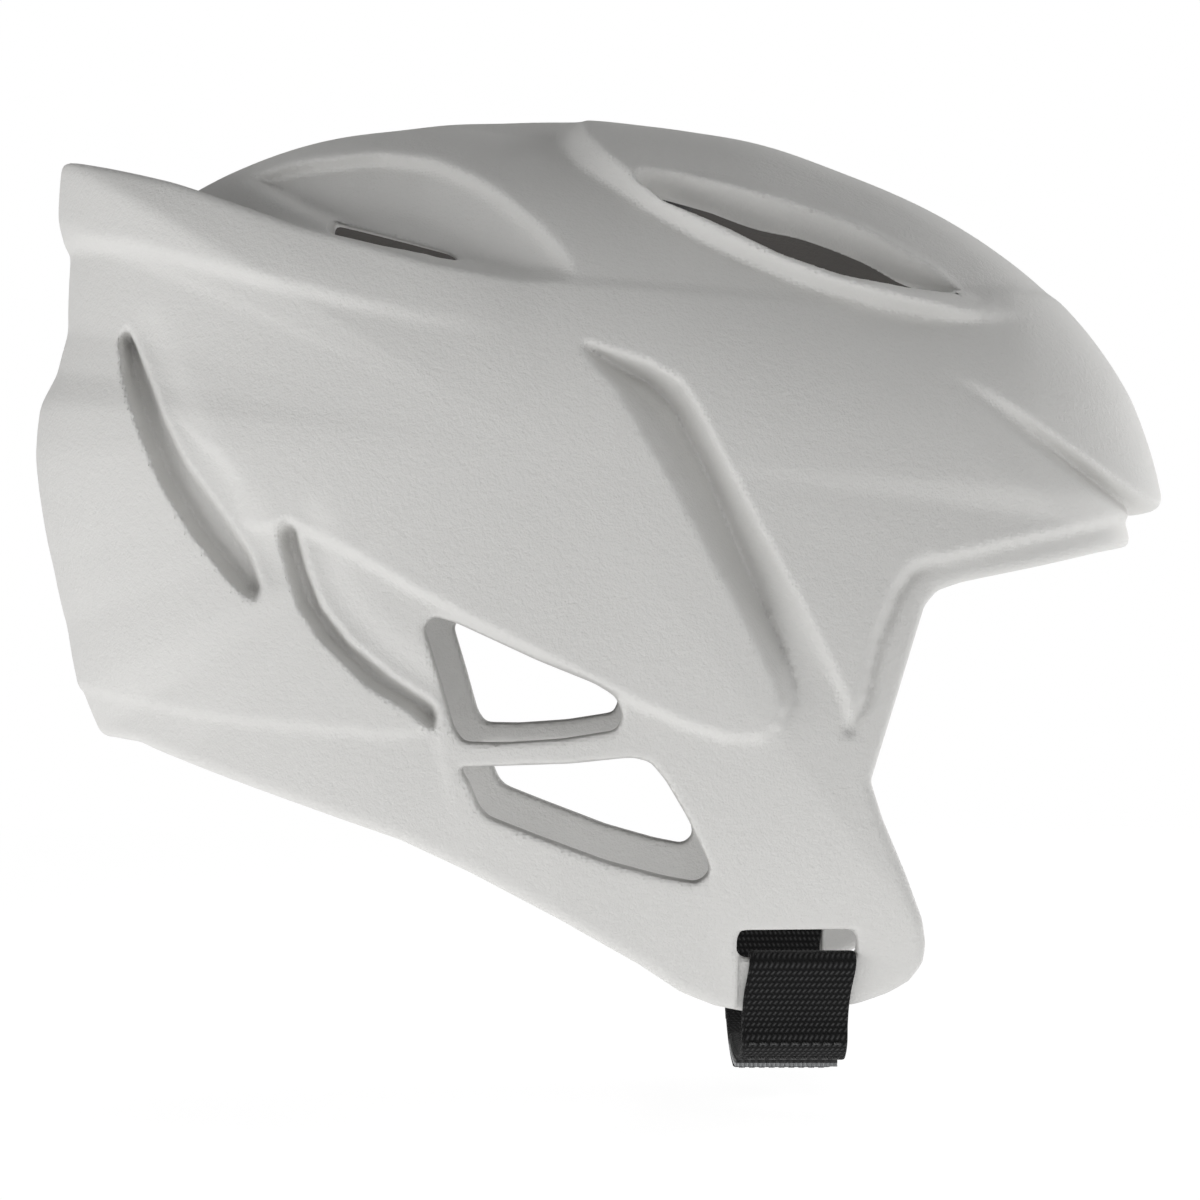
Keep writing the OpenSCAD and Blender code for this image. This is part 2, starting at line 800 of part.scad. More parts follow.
module strap_loop_tape() {
    color(webbing_black)
        mirror([0, 1, 0])
            at_strap(strap_width)
                overlap_band(high_depth, half_ply + seat_gap);
}

// Rows of thread laid across the webbing, each stitch lying on the ply at its offset
module stitch_rows(depth, turns, offset) {
    stitch = 1.5;
    thread = 0.5;
    for (turn = turns)
        for (x = [-4 : 4]) {
            normal = sag_normal(depth, turn);
            spot = sag(depth, turn) + (offset + sign(offset) * (thread / 2 + seat_gap)) * normal;
            translate([strap_x + x * strap_width / 10, spot[0], spot[1]])
                rotate([atan2(normal[1], normal[0]), 0, 0])
                    cube([stitch, thread, thread], center = true);
        }
}

module right_strap_stitching() {
    color(webbing_black)
        mirror([0, 1, 0])
            stitch_rows(high_depth, sewn_rows, half_ply + strap_thickness);
}

module left_strap_stitching() {
    color(webbing_black)
        stitch_rows(low_depth, sewn_rows, half_ply + strap_thickness);
}

module hook_tab_stitching() {
    color(tape_grey)
        stitch_rows(low_depth, tab_rows, half_ply);
}

foam_shell();
brow_pad();
crown_pad();
rear_pad();
right_side_pad();
left_side_pad();
right_jaw_pad();
left_jaw_pad();
brow_hook_patches();
crown_hook_patches();
rear_hook_patches();
right_side_hook_patch();
left_side_hook_patch();
right_jaw_hook_patch();
left_jaw_hook_patch();
right_strap_loop();
left_strap_loop();
right_strap();
left_strap();
right_strap_stitching();
left_strap_stitching();
strap_hook_tab();
strap_loop_tape();
hook_tab_stitching();
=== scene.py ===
"""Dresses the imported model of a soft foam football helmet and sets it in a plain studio."""

import json
import logging
import math
from dataclasses import dataclass, field
from enum import Enum
from typing import Any, Iterator, Sequence

import bpy
import numpy as np
import openvdb
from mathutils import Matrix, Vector

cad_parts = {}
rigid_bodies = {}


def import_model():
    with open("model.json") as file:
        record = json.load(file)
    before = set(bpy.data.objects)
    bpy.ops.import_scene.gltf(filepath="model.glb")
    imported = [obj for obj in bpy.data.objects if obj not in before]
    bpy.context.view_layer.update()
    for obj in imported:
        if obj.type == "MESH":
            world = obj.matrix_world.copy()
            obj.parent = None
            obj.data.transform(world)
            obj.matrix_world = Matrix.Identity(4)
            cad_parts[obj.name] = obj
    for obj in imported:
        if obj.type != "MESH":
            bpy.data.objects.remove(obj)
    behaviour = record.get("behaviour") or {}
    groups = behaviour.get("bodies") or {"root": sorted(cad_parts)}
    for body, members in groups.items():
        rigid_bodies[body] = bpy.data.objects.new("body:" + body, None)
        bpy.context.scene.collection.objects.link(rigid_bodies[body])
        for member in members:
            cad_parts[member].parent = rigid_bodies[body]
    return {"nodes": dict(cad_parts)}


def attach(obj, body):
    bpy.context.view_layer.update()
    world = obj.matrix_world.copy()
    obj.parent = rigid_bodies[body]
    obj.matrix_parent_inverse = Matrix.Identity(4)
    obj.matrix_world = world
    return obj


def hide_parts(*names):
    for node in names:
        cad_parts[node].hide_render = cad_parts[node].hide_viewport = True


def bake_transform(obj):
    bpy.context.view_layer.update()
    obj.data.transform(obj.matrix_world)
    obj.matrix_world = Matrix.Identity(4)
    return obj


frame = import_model()
LOG = logging.getLogger("helmet")
MM = 0.001
WHITE = (1, 1, 1, 1)
Line = Sequence[tuple[float, float]]
Colour = tuple[float, float, float]


# Shader maths


class Sock:
    """A shader socket that takes part in Python expressions, each of which adds Math nodes."""

    def __init__(self, graph: "Graph", socket: Any) -> None:
        """Keeps the socket and the graph that new nodes go into."""
        self.graph = graph
        self.socket = socket

    def _math(self, operation: str, *values: Any, clamp: bool = False) -> "Sock":
        """Adds one Math node.

        Args:
            operation: the node's operation.
            values: numbers or sockets for its inputs.
            clamp: True to keep the result from 0 to 1.

        Returns:
            The node's result.
        """
        settings = {"operation": operation, "use_clamp": clamp}
        return self.graph.add("ShaderNodeMath", settings, dict(enumerate(values)))

    def __add__(self, other: Any) -> "Sock":
        """The sum."""
        return self._math("ADD", self, other)

    __radd__ = __add__

    def __mul__(self, other: Any) -> "Sock":
        """The product."""
        return self._math("MULTIPLY", self, other)

    __rmul__ = __mul__

    def __sub__(self, other: Any) -> "Sock":
        """The difference."""
        return self._math("SUBTRACT", self, other)

    def __rsub__(self, other: Any) -> "Sock":
        """The difference from a number."""
        return self._math("SUBTRACT", other, self)

    def __truediv__(self, other: Any) -> "Sock":
        """The quotient."""
        return self._math("DIVIDE", self, other)

    def power(self, exponent: float) -> "Sock":
        """The value raised to a power."""
        return self._math("POWER", self, exponent)

    def clamp(self) -> "Sock":
        """The value kept from 0 to 1."""
        return self._math("ADD", self, 0.0, clamp=True)

    def sine(self) -> "Sock":
        """The sine of the value in radians."""
        return self._math("SINE", self)

    def fract(self) -> "Sock":
        """What is left after the whole part."""
        return self._math("FRACT", self)

    def floor(self) -> "Sock":
        """The whole part."""
        return self._math("FLOOR", self)

    def most(self, other: "Sock") -> "Sock":
        """The larger of two values."""
        return self._math("MAXIMUM", self, other)


class Graph:
    """The node tree of one material or world, with one method that makes any node."""

    def __init__(self, owner: Any) -> None:
        """Empties the tree of a new material or world."""
        self.owner = owner
        self.owner.use_nodes = True
        self.tree = self.owner.node_tree
        self.tree.nodes.clear()

    @classmethod
    def material(cls, name: str) -> "Graph":
        """The tree of a new material."""
        return cls(bpy.data.materials.new(name))

    def add(self, kind: str, settings: dict[str, Any] | None = None, inputs: dict[Any, Any] | None = None,
            output: Any = 0) -> Sock:
        """Adds a node of any type.

        Args:
            kind: the node's type.
            settings: the node's own settings, set before its inputs.
            inputs: values or sockets by input name or number.
            output: name or number of the output that is returned.

        Returns:
            The output's socket.
        """
        node = self.tree.nodes.new(kind)
        for key, value in (settings or {}).items():
            setattr(node, key, value)
        for key, value in (inputs or {}).items():
            if isinstance(value, Sock):
                self.tree.links.new(value.socket, node.inputs[key])
            else:
                node.inputs[key].default_value = value
        return Sock(self, node.outputs[output])

    def place(self) -> Sock:
        """Object coordinates, in metres in the row frame."""
        return self.add("ShaderNodeTexCoord", output="Object")

    def axes(self, source: str = "Object") -> tuple[Sock, Sock, Sock]:
        """The three parts of the Object coordinates, or of the piece's own UV map, in metres."""
        split = self.add("ShaderNodeSeparateXYZ", inputs={0: self.add("ShaderNodeTexCoord", output=source)})
        return tuple(Sock(self, part) for part in split.socket.node.outputs)

    def noise(self, scale: float, detail: float, roughness: float) -> Sock:
        """Noise from 0 to 1 with a number of cells in each metre."""
        inputs = {"Vector": self.place(), "Scale": scale, "Detail": detail, "Roughness": roughness}
        return self.add("ShaderNodeTexNoise", {"noise_dimensions": "3D"}, inputs)

    def mix(self, factor: Sock, low: Any, high: Any) -> Sock:
        """A colour between two, each a socket or linear values."""
        low, high = (colour if isinstance(colour, Sock) else (*colour, 1.0) for colour in (low, high))
        return self.add("ShaderNodeMix", {"data_type": "RGBA"}, {0: factor, 6: low, 7: high}, output=2)

    def bump(self, height: Sock, distance: float, strength: float, base: Sock | None = None) -> Sock:
        """A bump from a height.

        Args:
            height: the height, from 0 to 1.
            distance: what 1 stands for, in metres.
            strength: how much of it shows.
            base: another bump that it lies over.

        Returns:
            The normal.
        """
        inputs: dict[Any, Any] = {"Height": height, "Distance": distance, "Strength": strength}
        if base is not None:
            inputs["Normal"] = base
        return self.add("ShaderNodeBump", inputs=inputs)

    def finish(self, colour: Sock, roughness: Any, normal: Sock, **fixed: float) -> bpy.types.Material:
        """Closes the material with one principled shader.

        Args:
            colour: base colour.
            roughness: a socket or a number.
            normal: the bump to use.
            fixed: plain numbers by input name, with _ for a space.

        Returns:
            The material.
        """
        inputs: dict[Any, Any] = {"Base Color": colour, "Roughness": roughness, "Normal": normal}
        inputs |= {key.replace("_", " "): value for key, value in fixed.items()}
        return self.close(self.add("ShaderNodeBsdfPrincipled", inputs=inputs))

    def close(self, shader: Sock) -> Any:
        """Links a shader to the output.

        Args:
            shader: the shader.

        Returns:
            The material or world.
        """
        kind = "World" if isinstance(self.owner, bpy.types.World) else "Material"
        node = self.tree.nodes.new(f"ShaderNodeOutput{kind}")
        self.tree.links.new(shader.socket, node.inputs[0])
        return self.owner


# Finishes, each a few noises and waves that drive a bump, a colour and a roughness


def tint(colour: Colour, share: float) -> Colour:
    """A colour made darker or lighter."""
    return tuple(part * share for part in colour)


@dataclass(frozen=True)
class FoamFinish:
    """Moulded foam with a fine sandy skin, and a dark colour painted on as shade where the mesh's mask is 1.
    """

    colour: Colour = (0.70, 0.695, 0.68)
    # Painted shade: the dark colour that stands for the shade inside the crown and on the ear openings'
    # walls.
    painted_inner_shade: Colour = (0.135, 0.128, 0.122)
    grains: float = 1900.0
    wrinkles: float = 750.0
    clouds: float = 16.0

    def material(self) -> bpy.types.Material:
        """Grain over wrinkles as a bump, both with clouds as a faint mottle, and the dark painted shade where
        the mask is 1.

        Returns:
            The material.
        """
        g = Graph.material("foam_skin")
        grain = g.noise(self.grains, 2.0, 0.6)
        wrinkle = g.noise(self.wrinkles, 4.0, 0.6)
        cloud = g.noise(self.clouds, 2.0, 0.5)
        lumps = g.bump(wrinkle, 0.0007, 0.32)
        normal = g.bump(grain, 0.00028, 0.4, lumps)
        shade = cloud * 0.55 + wrinkle * 0.3 + grain * 0.15
        skin = g.mix(shade, tint(self.colour, 0.955), tint(self.colour, 1.03))
        # Painted shade: the dark colour, a little mottled, mixed in where the mesh's mask, set in
        # FoamShell.mark, is 1.
        painted_shade = g.mix(shade, tint(self.painted_inner_shade, 0.85), tint(self.painted_inner_shade, 1.15))
        settings = {"attribute_type": "GEOMETRY", "attribute_name": "painted_inner_shade"}
        painted_shade_mask = g.add("ShaderNodeAttribute", settings, output="Fac")
        return g.finish(g.mix(painted_shade_mask, skin, painted_shade), 0.72 + grain * 0.16, normal, Specular_IOR_Level=0.2)


@dataclass(frozen=True)
class WebbingFinish:
    """Coarse black webbing: rows of short slanting floats, offset from row to row."""

    pitch: float = 0.00125
    row: float = 0.00175
    # low is the webbing's black; high is the colour of a painted glint on the floats' tops.
    low: Colour = (0.002, 0.002, 0.0021)
    high: Colour = (0.055, 0.055, 0.056)

    def material(self) -> bpy.types.Material:
        """A bead, sin(pi u) across a float, times a rib, sin(pi v) along a row, with a painted glint, a
        lighter colour, where both are big.

        Returns:
            The material.
        """
        g = Graph.material("black_webbing")
        along, across, _ = g.axes("UV")
        rows = along / self.row
        slant = (rows * (2 * math.pi)).sine() * 0.16
        cells = (across / self.pitch + rows.floor() * 0.5 + slant).fract()
        bead = (cells * math.pi).sine().power(0.9)
        rib = (rows.fract() * math.pi).sine().power(0.6)
        height = bead * rib
        fuzz = g.noise(2600.0, 3.0, 0.7)
        # Painted highlight: the floats' tops lighter in colour, standing for glints of light.
        glint = (height * 1.1 - 0.35 + fuzz * 0.45).clamp().power(3.0)
        normal = g.bump(height + fuzz * 0.25, 0.0006, 0.9)
        return g.finish(g.mix(glint, self.low, self.high), 0.7 + fuzz * 0.2, normal, Specular_IOR_Level=0.18)


@dataclass(frozen=True)
class KnitFinish:
    """Brushed knit cover of the comfort pads."""

    stitch: float = 0.0012
    low: Colour = (0.012, 0.012, 0.013)
    high: Colour = (0.05, 0.05, 0.053)

    def material(self) -> bpy.types.Material:
        """Loops, the product of two sines that cross at a slant, under a brushed fuzz of noise.

        Returns:
            The material.
        """
        g = Graph.material("pad_knit")
        x, y, z = g.axes()
        turns = 2 * math.pi / self.stitch
        loops = ((x + z * 0.6) * turns).sine() * ((y - z * 0.8) * turns).sine()
        fuzz = g.noise(1800.0, 3.0, 0.65)
        normal = g.bump(loops * 0.5 + fuzz, 0.0004, 0.6)
        shade = (fuzz * 0.7 + loops * 0.15 + 0.15).clamp()
        return g.finish(g.mix(shade, self.low, self.high), 0.85, normal, Sheen_Weight=0.25)


@dataclass(frozen=True)
class HookFinish:
    """Tape of small moulded hooks or of soft pile."""

    name: str
    low: Colour
    high: Colour
    pitch: float = 0.0011

    def material(self) -> bpy.types.Material:
        """Dots, the squared product of two sines at right angles, with a fuzz of noise.

        Returns:
            The material.
        """
        g = Graph.material(self.name)
        x, y, _ = g.axes()
        turns = 2 * math.pi / self.pitch
        dots = ((x * turns).sine() * (y * turns).sine() * 0.5 + 0.5).power(2.0)
        fuzz = g.noise(2400.0, 3.0, 0.7)
        normal = g.bump(dots + fuzz * 0.3, 0.0005, 0.8)
        return g.finish(g.mix((dots * 0.7 + fuzz * 0.3).clamp(), self.low, self.high), 0.6, normal)


@dataclass(frozen=True)
class ThreadFinish:
    """Twisted sewing thread."""

    name: str
    low: Colour
    high: Colour
    turns: tuple[float, float] = (9000.0, 6000.0)

    def material(self) -> bpy.types.Material:
        """The twist: one sine that runs at a slant across the thread.

        Returns:
            The material.
        """
        g = Graph.material(self.name)
        x, _, z = g.axes()
        twist = (x * self.turns[0] + z * self.turns[1]).sine() * 0.5 + 0.5
        return g.finish(g.mix(twist, self.low, self.high), 0.5, g.bump(twist, 0.0001, 0.6))


# Mesh tools


def put_object(name: str, data: Any) -> bpy.types.Object:
    """Makes an object from its data and puts it in the scene.

    Args:
        name: the object's name.
        data: its mesh, light or camera.

    Returns:
        The new object.
    """
    obj = bpy.data.objects.new(name, data)
    bpy.context.scene.collection.objects.link(obj)
    return obj


def read(items: Any, key: str, width: int = 3) -> np.ndarray:
    """Reads one property of all of a mesh's points, corners or faces.

    Args:
        items: the points, corners or faces.
        key: the property.
        width: 3 for a vector of numbers, 1 for a whole number.

    Returns:
        One row, or one whole number, for each of them.
    """
    flat = np.zeros(len(items) * width, float if width == 3 else np.int32)
    items.foreach_get(key, flat)
    return flat.reshape(-1, width) if width == 3 else flat


def apply_modifier(obj: bpy.types.Object, kind: str, **settings: Any) -> None:
    """Adds a modifier and applies it.

    Args:
        obj: the object.
        kind: the modifier's type.
        settings: its settings by name.
    """
    modifier = obj.modifiers.new(kind.lower(), kind)
    for key, value in settings.items():
        setattr(modifier, key, value)
    bpy.context.view_layer.objects.active = obj
    bpy.ops.object.modifier_apply(modifier=modifier.name)


def put_mesh(name: str, points: np.ndarray, faces: list[Sequence[int]], material: bpy.types.Material,
             body: str) -> bpy.types.Object:
    """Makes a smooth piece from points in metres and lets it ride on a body.

    Args:
        name: the piece's name.
        points: array of n points.
        faces: corner numbers of each face.
        material: its finish.
        body: the body it rides on, or "" to leave that to the caller.

    Returns:
        The new object.
    """
    mesh = bpy.data.meshes.new(name)
    mesh.from_pydata(points.tolist(), [], faces)
    mesh.validate()
    mesh.polygons.foreach_set("use_smooth", np.full(len(mesh.polygons), True))
    mesh.materials.append(material)
    obj = put_object(name, mesh)
    if body:
        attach(obj, body)
    return obj


# Lines and fields


def run_length(line: np.ndarray) -> np.ndarray:
    """Length along a line up to each of its points."""
    return np.r_[0, np.cumsum(np.hypot(*np.diff(line, axis=0).T))]


def bell_shares(reach: int, width: float, step: float = 1.0) -> np.ndarray:
    """Shares of a bell-shaped average, e^(-(d / width)^2 / 2) over their sum.

    Args:
        reach: how many samples lie on each side of the middle.
        width: the bell's width.
        step: distance d between two samples.

    Returns:
        The shares, which add up to 1.
    """
    shares = np.exp(-0.5 * (np.arange(-reach, reach + 1) * step / width) ** 2)
    return shares / shares.sum()


def fine_line(line: Line, round_off: float, step: float = 1.0, closed: bool = False) -> np.ndarray:
    """Resamples a drawn line at even steps and rounds its corners with a bell-shaped average.

    Args:
        line: the drawn points in millimetres.
        round_off: width of the bell, in millimetres.
        step: distance between the new points.
        closed: True for an outline.

    Returns:
        The new points.
    """
    p = np.array(line, float)
    if closed:
        p = np.vstack([p, p[:1]])
    run = run_length(p)
    s = np.linspace(0, run[-1], max(2, int(round(run[-1] / step))) + 1)
    q = np.stack([np.interp(s, run, p[:, i]) for i in range(2)], 1)
    reach = int(3 * round_off / step) + 1
    if closed:
        q = q[:-1]
        padded = np.vstack([q[-reach:], q, q[:reach]])
    else:
        padded = np.vstack([2 * q[0] - q[reach:0:-1], q, 2 * q[-1] - q[-2:-reach - 2:-1]])
    shares = bell_shares(reach, round_off, step)
    return np.stack([np.convolve(padded[:, i], shares, "valid") for i in range(2)], 1)


def distance_to_line(px: np.ndarray, pz: np.ndarray, line: np.ndarray, closed: bool = False) -> np.ndarray:
    """Distance from each point to a bent line: the least distance to its straight stretches.

    Args:
        px: the points' first coordinates.
        pz: their second ones.
        line: the line's points.
        closed: True where its end joins its start.

    Returns:
        The distances.
    """
    best = np.full(px.shape, 1e9, np.float32)
    for (ax, az), (bx, bz) in zip(line, np.roll(line, -1, 0) if closed else line[1:]):
        dx, dz = bx - ax, bz - az
        t = np.clip(((px - ax) * dx + (pz - az) * dz) / max(dx * dx + dz * dz, 1e-12), 0, 1)
        best = np.minimum(best, (px - ax - t * dx) ** 2 + (pz - az - t * dz) ** 2)
    return np.sqrt(best)


def inside_outline(px: np.ndarray, pz: np.ndarray, line: np.ndarray) -> np.ndarray:
    """True where a point lies inside an outline: a ray from it crosses the outline an odd number of times.

    Args:
        px: the points' first coordinates.
        pz: their second ones.
        line: the outline's points.

    Returns:
        True or False for each point.
    """
    inside = np.zeros(px.shape, bool)
    for (ax, az), (bx, bz) in zip(line, np.roll(line, -1, 0)):
        if az != bz:
            crosses = (az > pz) != (bz > pz)
            inside ^= crosses & (px < (bx - ax) * (pz - az) / (bz - az) + ax)
    return inside


def signed_distance(px: np.ndarray, pz: np.ndarray, line: np.ndarray) -> np.ndarray:
    """Distance from each point to an outline, below zero inside it."""
    return np.where(inside_outline(px, pz, line), -1, 1) * distance_to_line(px, pz, line, closed=True)


def smooth_least(a: np.ndarray, b: np.ndarray, round_off: float) -> np.ndarray:
    """The smaller of two fields, with the crease between them rounded by a parabola."""
    h = np.maximum(round_off - np.abs(a - b), 0) / round_off
    return np.minimum(a, b) - h * h * round_off / 4


def smooth_most(a: np.ndarray, b: np.ndarray, round_off: float) -> np.ndarray:
    """The larger of two fields, with the crease between them rounded by a parabola."""
    return -smooth_least(-a, -b, round_off)


def ease(value: np.ndarray) -> np.ndarray:
    """A smooth step from 0 to 1, 3 t^2 - 2 t^3."""
    t = np.clip(value, 0, 1)
    return t * t * (3 - 2 * t)


def ramp(value: np.ndarray, start: float, end: float) -> np.ndarray:
    """A smooth step that is 0 up to one value and 1 from another on."""
    return ease((value - start) / (end - start))


def bell(distance: np.ndarray, width: float, power: float = 2.0) -> np.ndarray:
    """A bell that is 1 at no distance and falls off as e^(-(distance / width)^power)."""
    return np.exp(-(distance / width) ** power)


def deepen(flat: np.ndarray) -> np.ndarray:
    """A side view field as a solid one, the same at every distance from the middle."""
    return flat[:, None, :].astype(np.float32)


def blur(values: np.ndarray, width: float) -> np.ndarray:
    """Averages a side view field with a bell, along each axis in turn.

    Args:
        values: the field.
        width: the bell's width in samples.

    Returns:
        The averaged field.
    """
    reach = int(3 * width) + 1
    for axis in (0, 1):
        grown = np.pad(values, [(reach, reach) if i == axis else (0, 0) for i in (0, 1)], mode="edge")
        values = sum(share * np.take(grown, range(k, k + values.shape[axis]), axis)
                     for k, share in enumerate(bell_shares(reach, width)))
    return values


def soften(values: np.ndarray, width: float) -> np.ndarray:
    """Averages a solid field with a bell that reaches two samples, along each axis in turn.

    Args:
        values: the field.
        width: the bell's width in samples.

    Returns:
        The averaged field.
    """
    for axis in range(3):
        total = np.zeros_like(values)
        for k, share in zip(range(-2, 3), bell_shares(2, width)):
            total += np.float32(share) * np.roll(values, k, axis)
        values = total
    return values


def corners(whole: np.ndarray, points: np.ndarray, margin: int) -> Iterator[tuple[np.ndarray, ...]]:
    """The eight grid points round each point, one after another.

    Args:
        whole: a field over the grid.
        points: the points, counted in grid steps.
        margin: how many grid points to keep away from the border.

    Returns:
        For each of the eight: its three indices, and its share of the value at the point.
    """
    low = np.clip(np.floor(points).astype(int), margin, np.array(whole.shape) - 2 - margin)
    part = points - low
    for corner in np.ndindex(2, 2, 2):
        yield *(low + corner).T, np.prod(np.where(np.array(corner) == 1, part, 1 - part), 1)


def value_at(whole: np.ndarray, points: np.ndarray) -> np.ndarray:
    """The field at each point, blended from the eight grid points round it."""
    return sum(share * whole[i, j, k] for i, j, k, share in corners(whole, points, 0))


def slope_at(whole: np.ndarray, points: np.ndarray) -> np.ndarray:
    """Unit slope of the field at each point, blended from the slopes at the eight grid points round it.

    Args:
        whole: the field.
        points: the points, counted in grid steps.

    Returns:
        A unit vector for each point.
    """
    total = np.zeros_like(points)
    for i, j, k, share in corners(whole, points, 1):
        total[:, 0] += share * (whole[i + 1, j, k] - whole[i - 1, j, k])
        total[:, 1] += share * (whole[i, j + 1, k] - whole[i, j - 1, k])
        total[:, 2] += share * (whole[i, j, k + 1] - whole[i, j, k - 1])
    return total / np.maximum(np.linalg.norm(total, axis=1, keepdims=True), 1e-9)


# The shell's drawn lines, in millimetres, as [forward, up] in the side view

DOME_LINE: Line = (
    (148, 0), (142, 17), (138, 24), (129, 36), (120, 45), (107, 55), (94, 63), (81, 69), (68, 74), (55, 79),
    (35, 83), (20, 85), (0, 86.5), (-15, 86), (-40, 84), (-56, 82), (-70, 78), (-80, 74), (-95, 66),
    (-107, 57), (-116, 46), (-122, 34), (-125, 23), (-129, 15), (-130, 3), (-128.5, -10), (-125.5, -25),
    (-122, -40), (-119, -56), (-114, -67), (-109, -85), (-98, -117), (-67, -158), (0, -178), (30, -171),
    (53, -165), (81, -160), (94, -157), (117, -150), (131, -131), (147, -85), (148, -54), (146, -18),
    (150, -9.5))
LIP_LINE: Line = (
    *DOME_LINE[:13], (-15, 87), (-34, 93), (-59, 96), (-87, 91), (-111, 84), (-124, 76), (-125, 60.5),
    (-123.5, 56.5), (-123.5, 33), *DOME_LINE[22:])
HEAD_LINE: Line = (
    (124, 0), (120, 20), (108, 42), (86, 57), (56, 67), (20, 72.5), (0, 73), (-40, 70), (-75, 58), (-97, 38),
    (-107, 20), (-110, 0), (-108, -25), (-103, -50), (-100, -67), (-98, -85), (-94, -117), (-67, -158),
    (0, -178), (30, -171), (53, -165), (81, -160), (94, -157), (117, -150), (131, -131), (140, -85),
    (134, -50), (129, -18))
LOWER_EDGE: Line = (
    (150.5, -9.5), (146, -12), (146, -17.5), (144, -19), (130, -21.5), (114, -25), (94, -29), (88, -31),
    (85, -34.5), (82, -44), (76.5, -62), (72.5, -75), (75.5, -84), (81, -96.5), (85.5, -108), (86.5, -114),
    (86, -118.5), (83, -123), (78, -126), (71, -128.5), (57, -130.5), (43.5, -130), (37, -128.5), (29, -125),
    (19, -118), (0.5, -107), (-20, -96), (-36, -88.5), (-57, -81.5), (-76.5, -75), (-84, -72.5), (-96, -68.5),
    (-100, -67), (-108, -66.5), (-114.5, -67))
LIP_EDGE: Line = (
    (-140, 81), (-124, 76), (-113, 72), (-90, 65), (-60, 53.5), (-31, 45.5), (-10, 42), (4, 41), (170, 41))
PANEL_EDGE: Line = (
    (6, 25), (7.5, 23), (13.7, 16.1), (18.4, 8.6), (27.5, -7), (40.9, -32.3), (50.4, -51), (52.1, -57),
    (51, -62), (47.1, -65.1))
GROOVE_FOOT: Line = (
    (6.2, 25), (6.6, 24.6), (20.9, 17.3), (26.6, 11.8), (34.3, -3.1), (40.9, -19.6), (47.6, -33.7),
    (54.5, -49), (55.4, -54), (53.5, -62), (49, -66.5))
FRONT_EDGE: Line = (
    (6.3, 25), (20.9, 20.3), (28, 16.2), (31.5, 11), (40.9, -6.9), (54.4, -32.3), (65.5, -53.8),
    (67.5, -62.6))
PANEL_FOOT: Line = (
    (-110, 34), (-94, 17), (-85, 6), (-77, -1), (-74, -5.5), (-71.5, -16), (-66, -17), (-61, -15.4),
    (-47, -22.5), (-34, -30), (-22, -36.4), (1, -48), (14.3, -54.8), (27.6, -61), (38.3, -64.5),
    (47.1, -65.1))
RIM_EDGE: Line = (
    (152, -12.5), (140.5, -13), (127.5, -15.5), (114, -18), (98.5, -21.5), (86, -24.5), (81.5, -27),
    (78.5, -31), (76.5, -36), (74, -41.5), (72, -50), (71, -56), (67.5, -62.5))
BROW_TOP: Line = (
    (87, 22), (101, 15), (114, 7), (130, -2.5), (146, -10.2), (156, -14))
BROW_FOOT: Line = (
    (88, 21), (101, 13), (114, 4.3), (130, -5.5), (145, -13), (156, -17))
RIDGE_OUTER: Line = (
    (1, 96), (-0.6, 86.4), (-1, 82), (0, 77.8), (1.8, 74.2), (5.4, 69.2), (21.2, 57.7), (33.3, 50.3),
    (45.8, 44.7), (56.1, 40.3), (75.4, 35.4), (93.9, 32.5), (103.5, 32.1), (111.1, 33.7))
RIDGE_INNER: Line = (
    (10, 96), (6.4, 86), (6.2, 82.5), (7.3, 78.8), (11.9, 72.9), (17.1, 67.5), (24.2, 60.1), (39.7, 51.8),
    (51.7, 45.8), (66.6, 40.4), (81.8, 36.8), (96.9, 34.4), (111.1, 35.2))
VENT: Line = (
    (17.5, 67.5), (21, 69), (28, 68.5), (40, 65.5), (52.5, 62), (57, 61), (73.5, 55), (88.5, 46.5),
    (95.5, 40.8), (82, 40.3), (66.8, 42.8), (52, 47.7), (40, 53.7), (24.7, 61))
VENT_SLIT: Line = (
    (23.3, 63), (36.8, 58.8), (51.8, 52.3), (69.9, 45.6), (83, 41.6), (94.5, 39.2), (95, 38.6), (82, 40.0),
    (66.8, 42.6), (52, 47.7), (40, 53.7), (24.7, 60.2))
SPINE_SIDE: Line = (
    (14, 79), (35, 76.5), (55, 72), (72, 66.5), (84.7, 61), (100.5, 51), (116.3, 39.3), (111, 36), (97, 38.3),
    (88.5, 46), (73.5, 55), (57, 61), (40, 65.5), (21, 69))
SCOOP: Line = (
    (-75.8, 69.2), (-61.9, 72.6), (-42.4, 73.9), (-29.2, 71.5), (-19.4, 66.5), (-13.2, 62.2), (-3.6, 53.4),
    (2.5, 46.1), (4.3, 41.2), (-6.2, 41.5), (-26.7, 45.9), (-47.9, 53.7), (-57.7, 57.9))
SCOOP_ARCH: Line = SCOOP[:9]
SCOOP_SLIT: Line = (
    (-53, 56.3), (-40, 52.2), (-25, 47.6), (-22.5, 45.5), (-40, 48.5), (-53, 52))
REAR_SLOT: Line = (
    (-103.4, 28.5), (-101.5, 31), (-99.5, 28), (-94.5, 17.3), (-90.7, 8.4), (-85.7, -1.5), (-77.5, -12.5),
    (-70.4, -22.6), (-67.6, -30.5), (-69.3, -33), (-72.4, -31.4), (-77.6, -25.6), (-84.6, -17), (-92, -5.3),
    (-97.8, 8.2), (-102, 19.6))
SIDE_SLOT: Line = (
    (-63.7, -18.5), (-62, -15.3), (-59.4, -16.5), (-56.9, -26.1), (-53.7, -34.6), (-47.2, -42.8),
    (-37.6, -50.6), (-28, -56.9), (-26.8, -59.5), (-27.8, -63), (-34.4, -57.6), (-44, -51.9), (-53.8, -42.1),
    (-59.1, -33.9), (-61.6, -25.7))
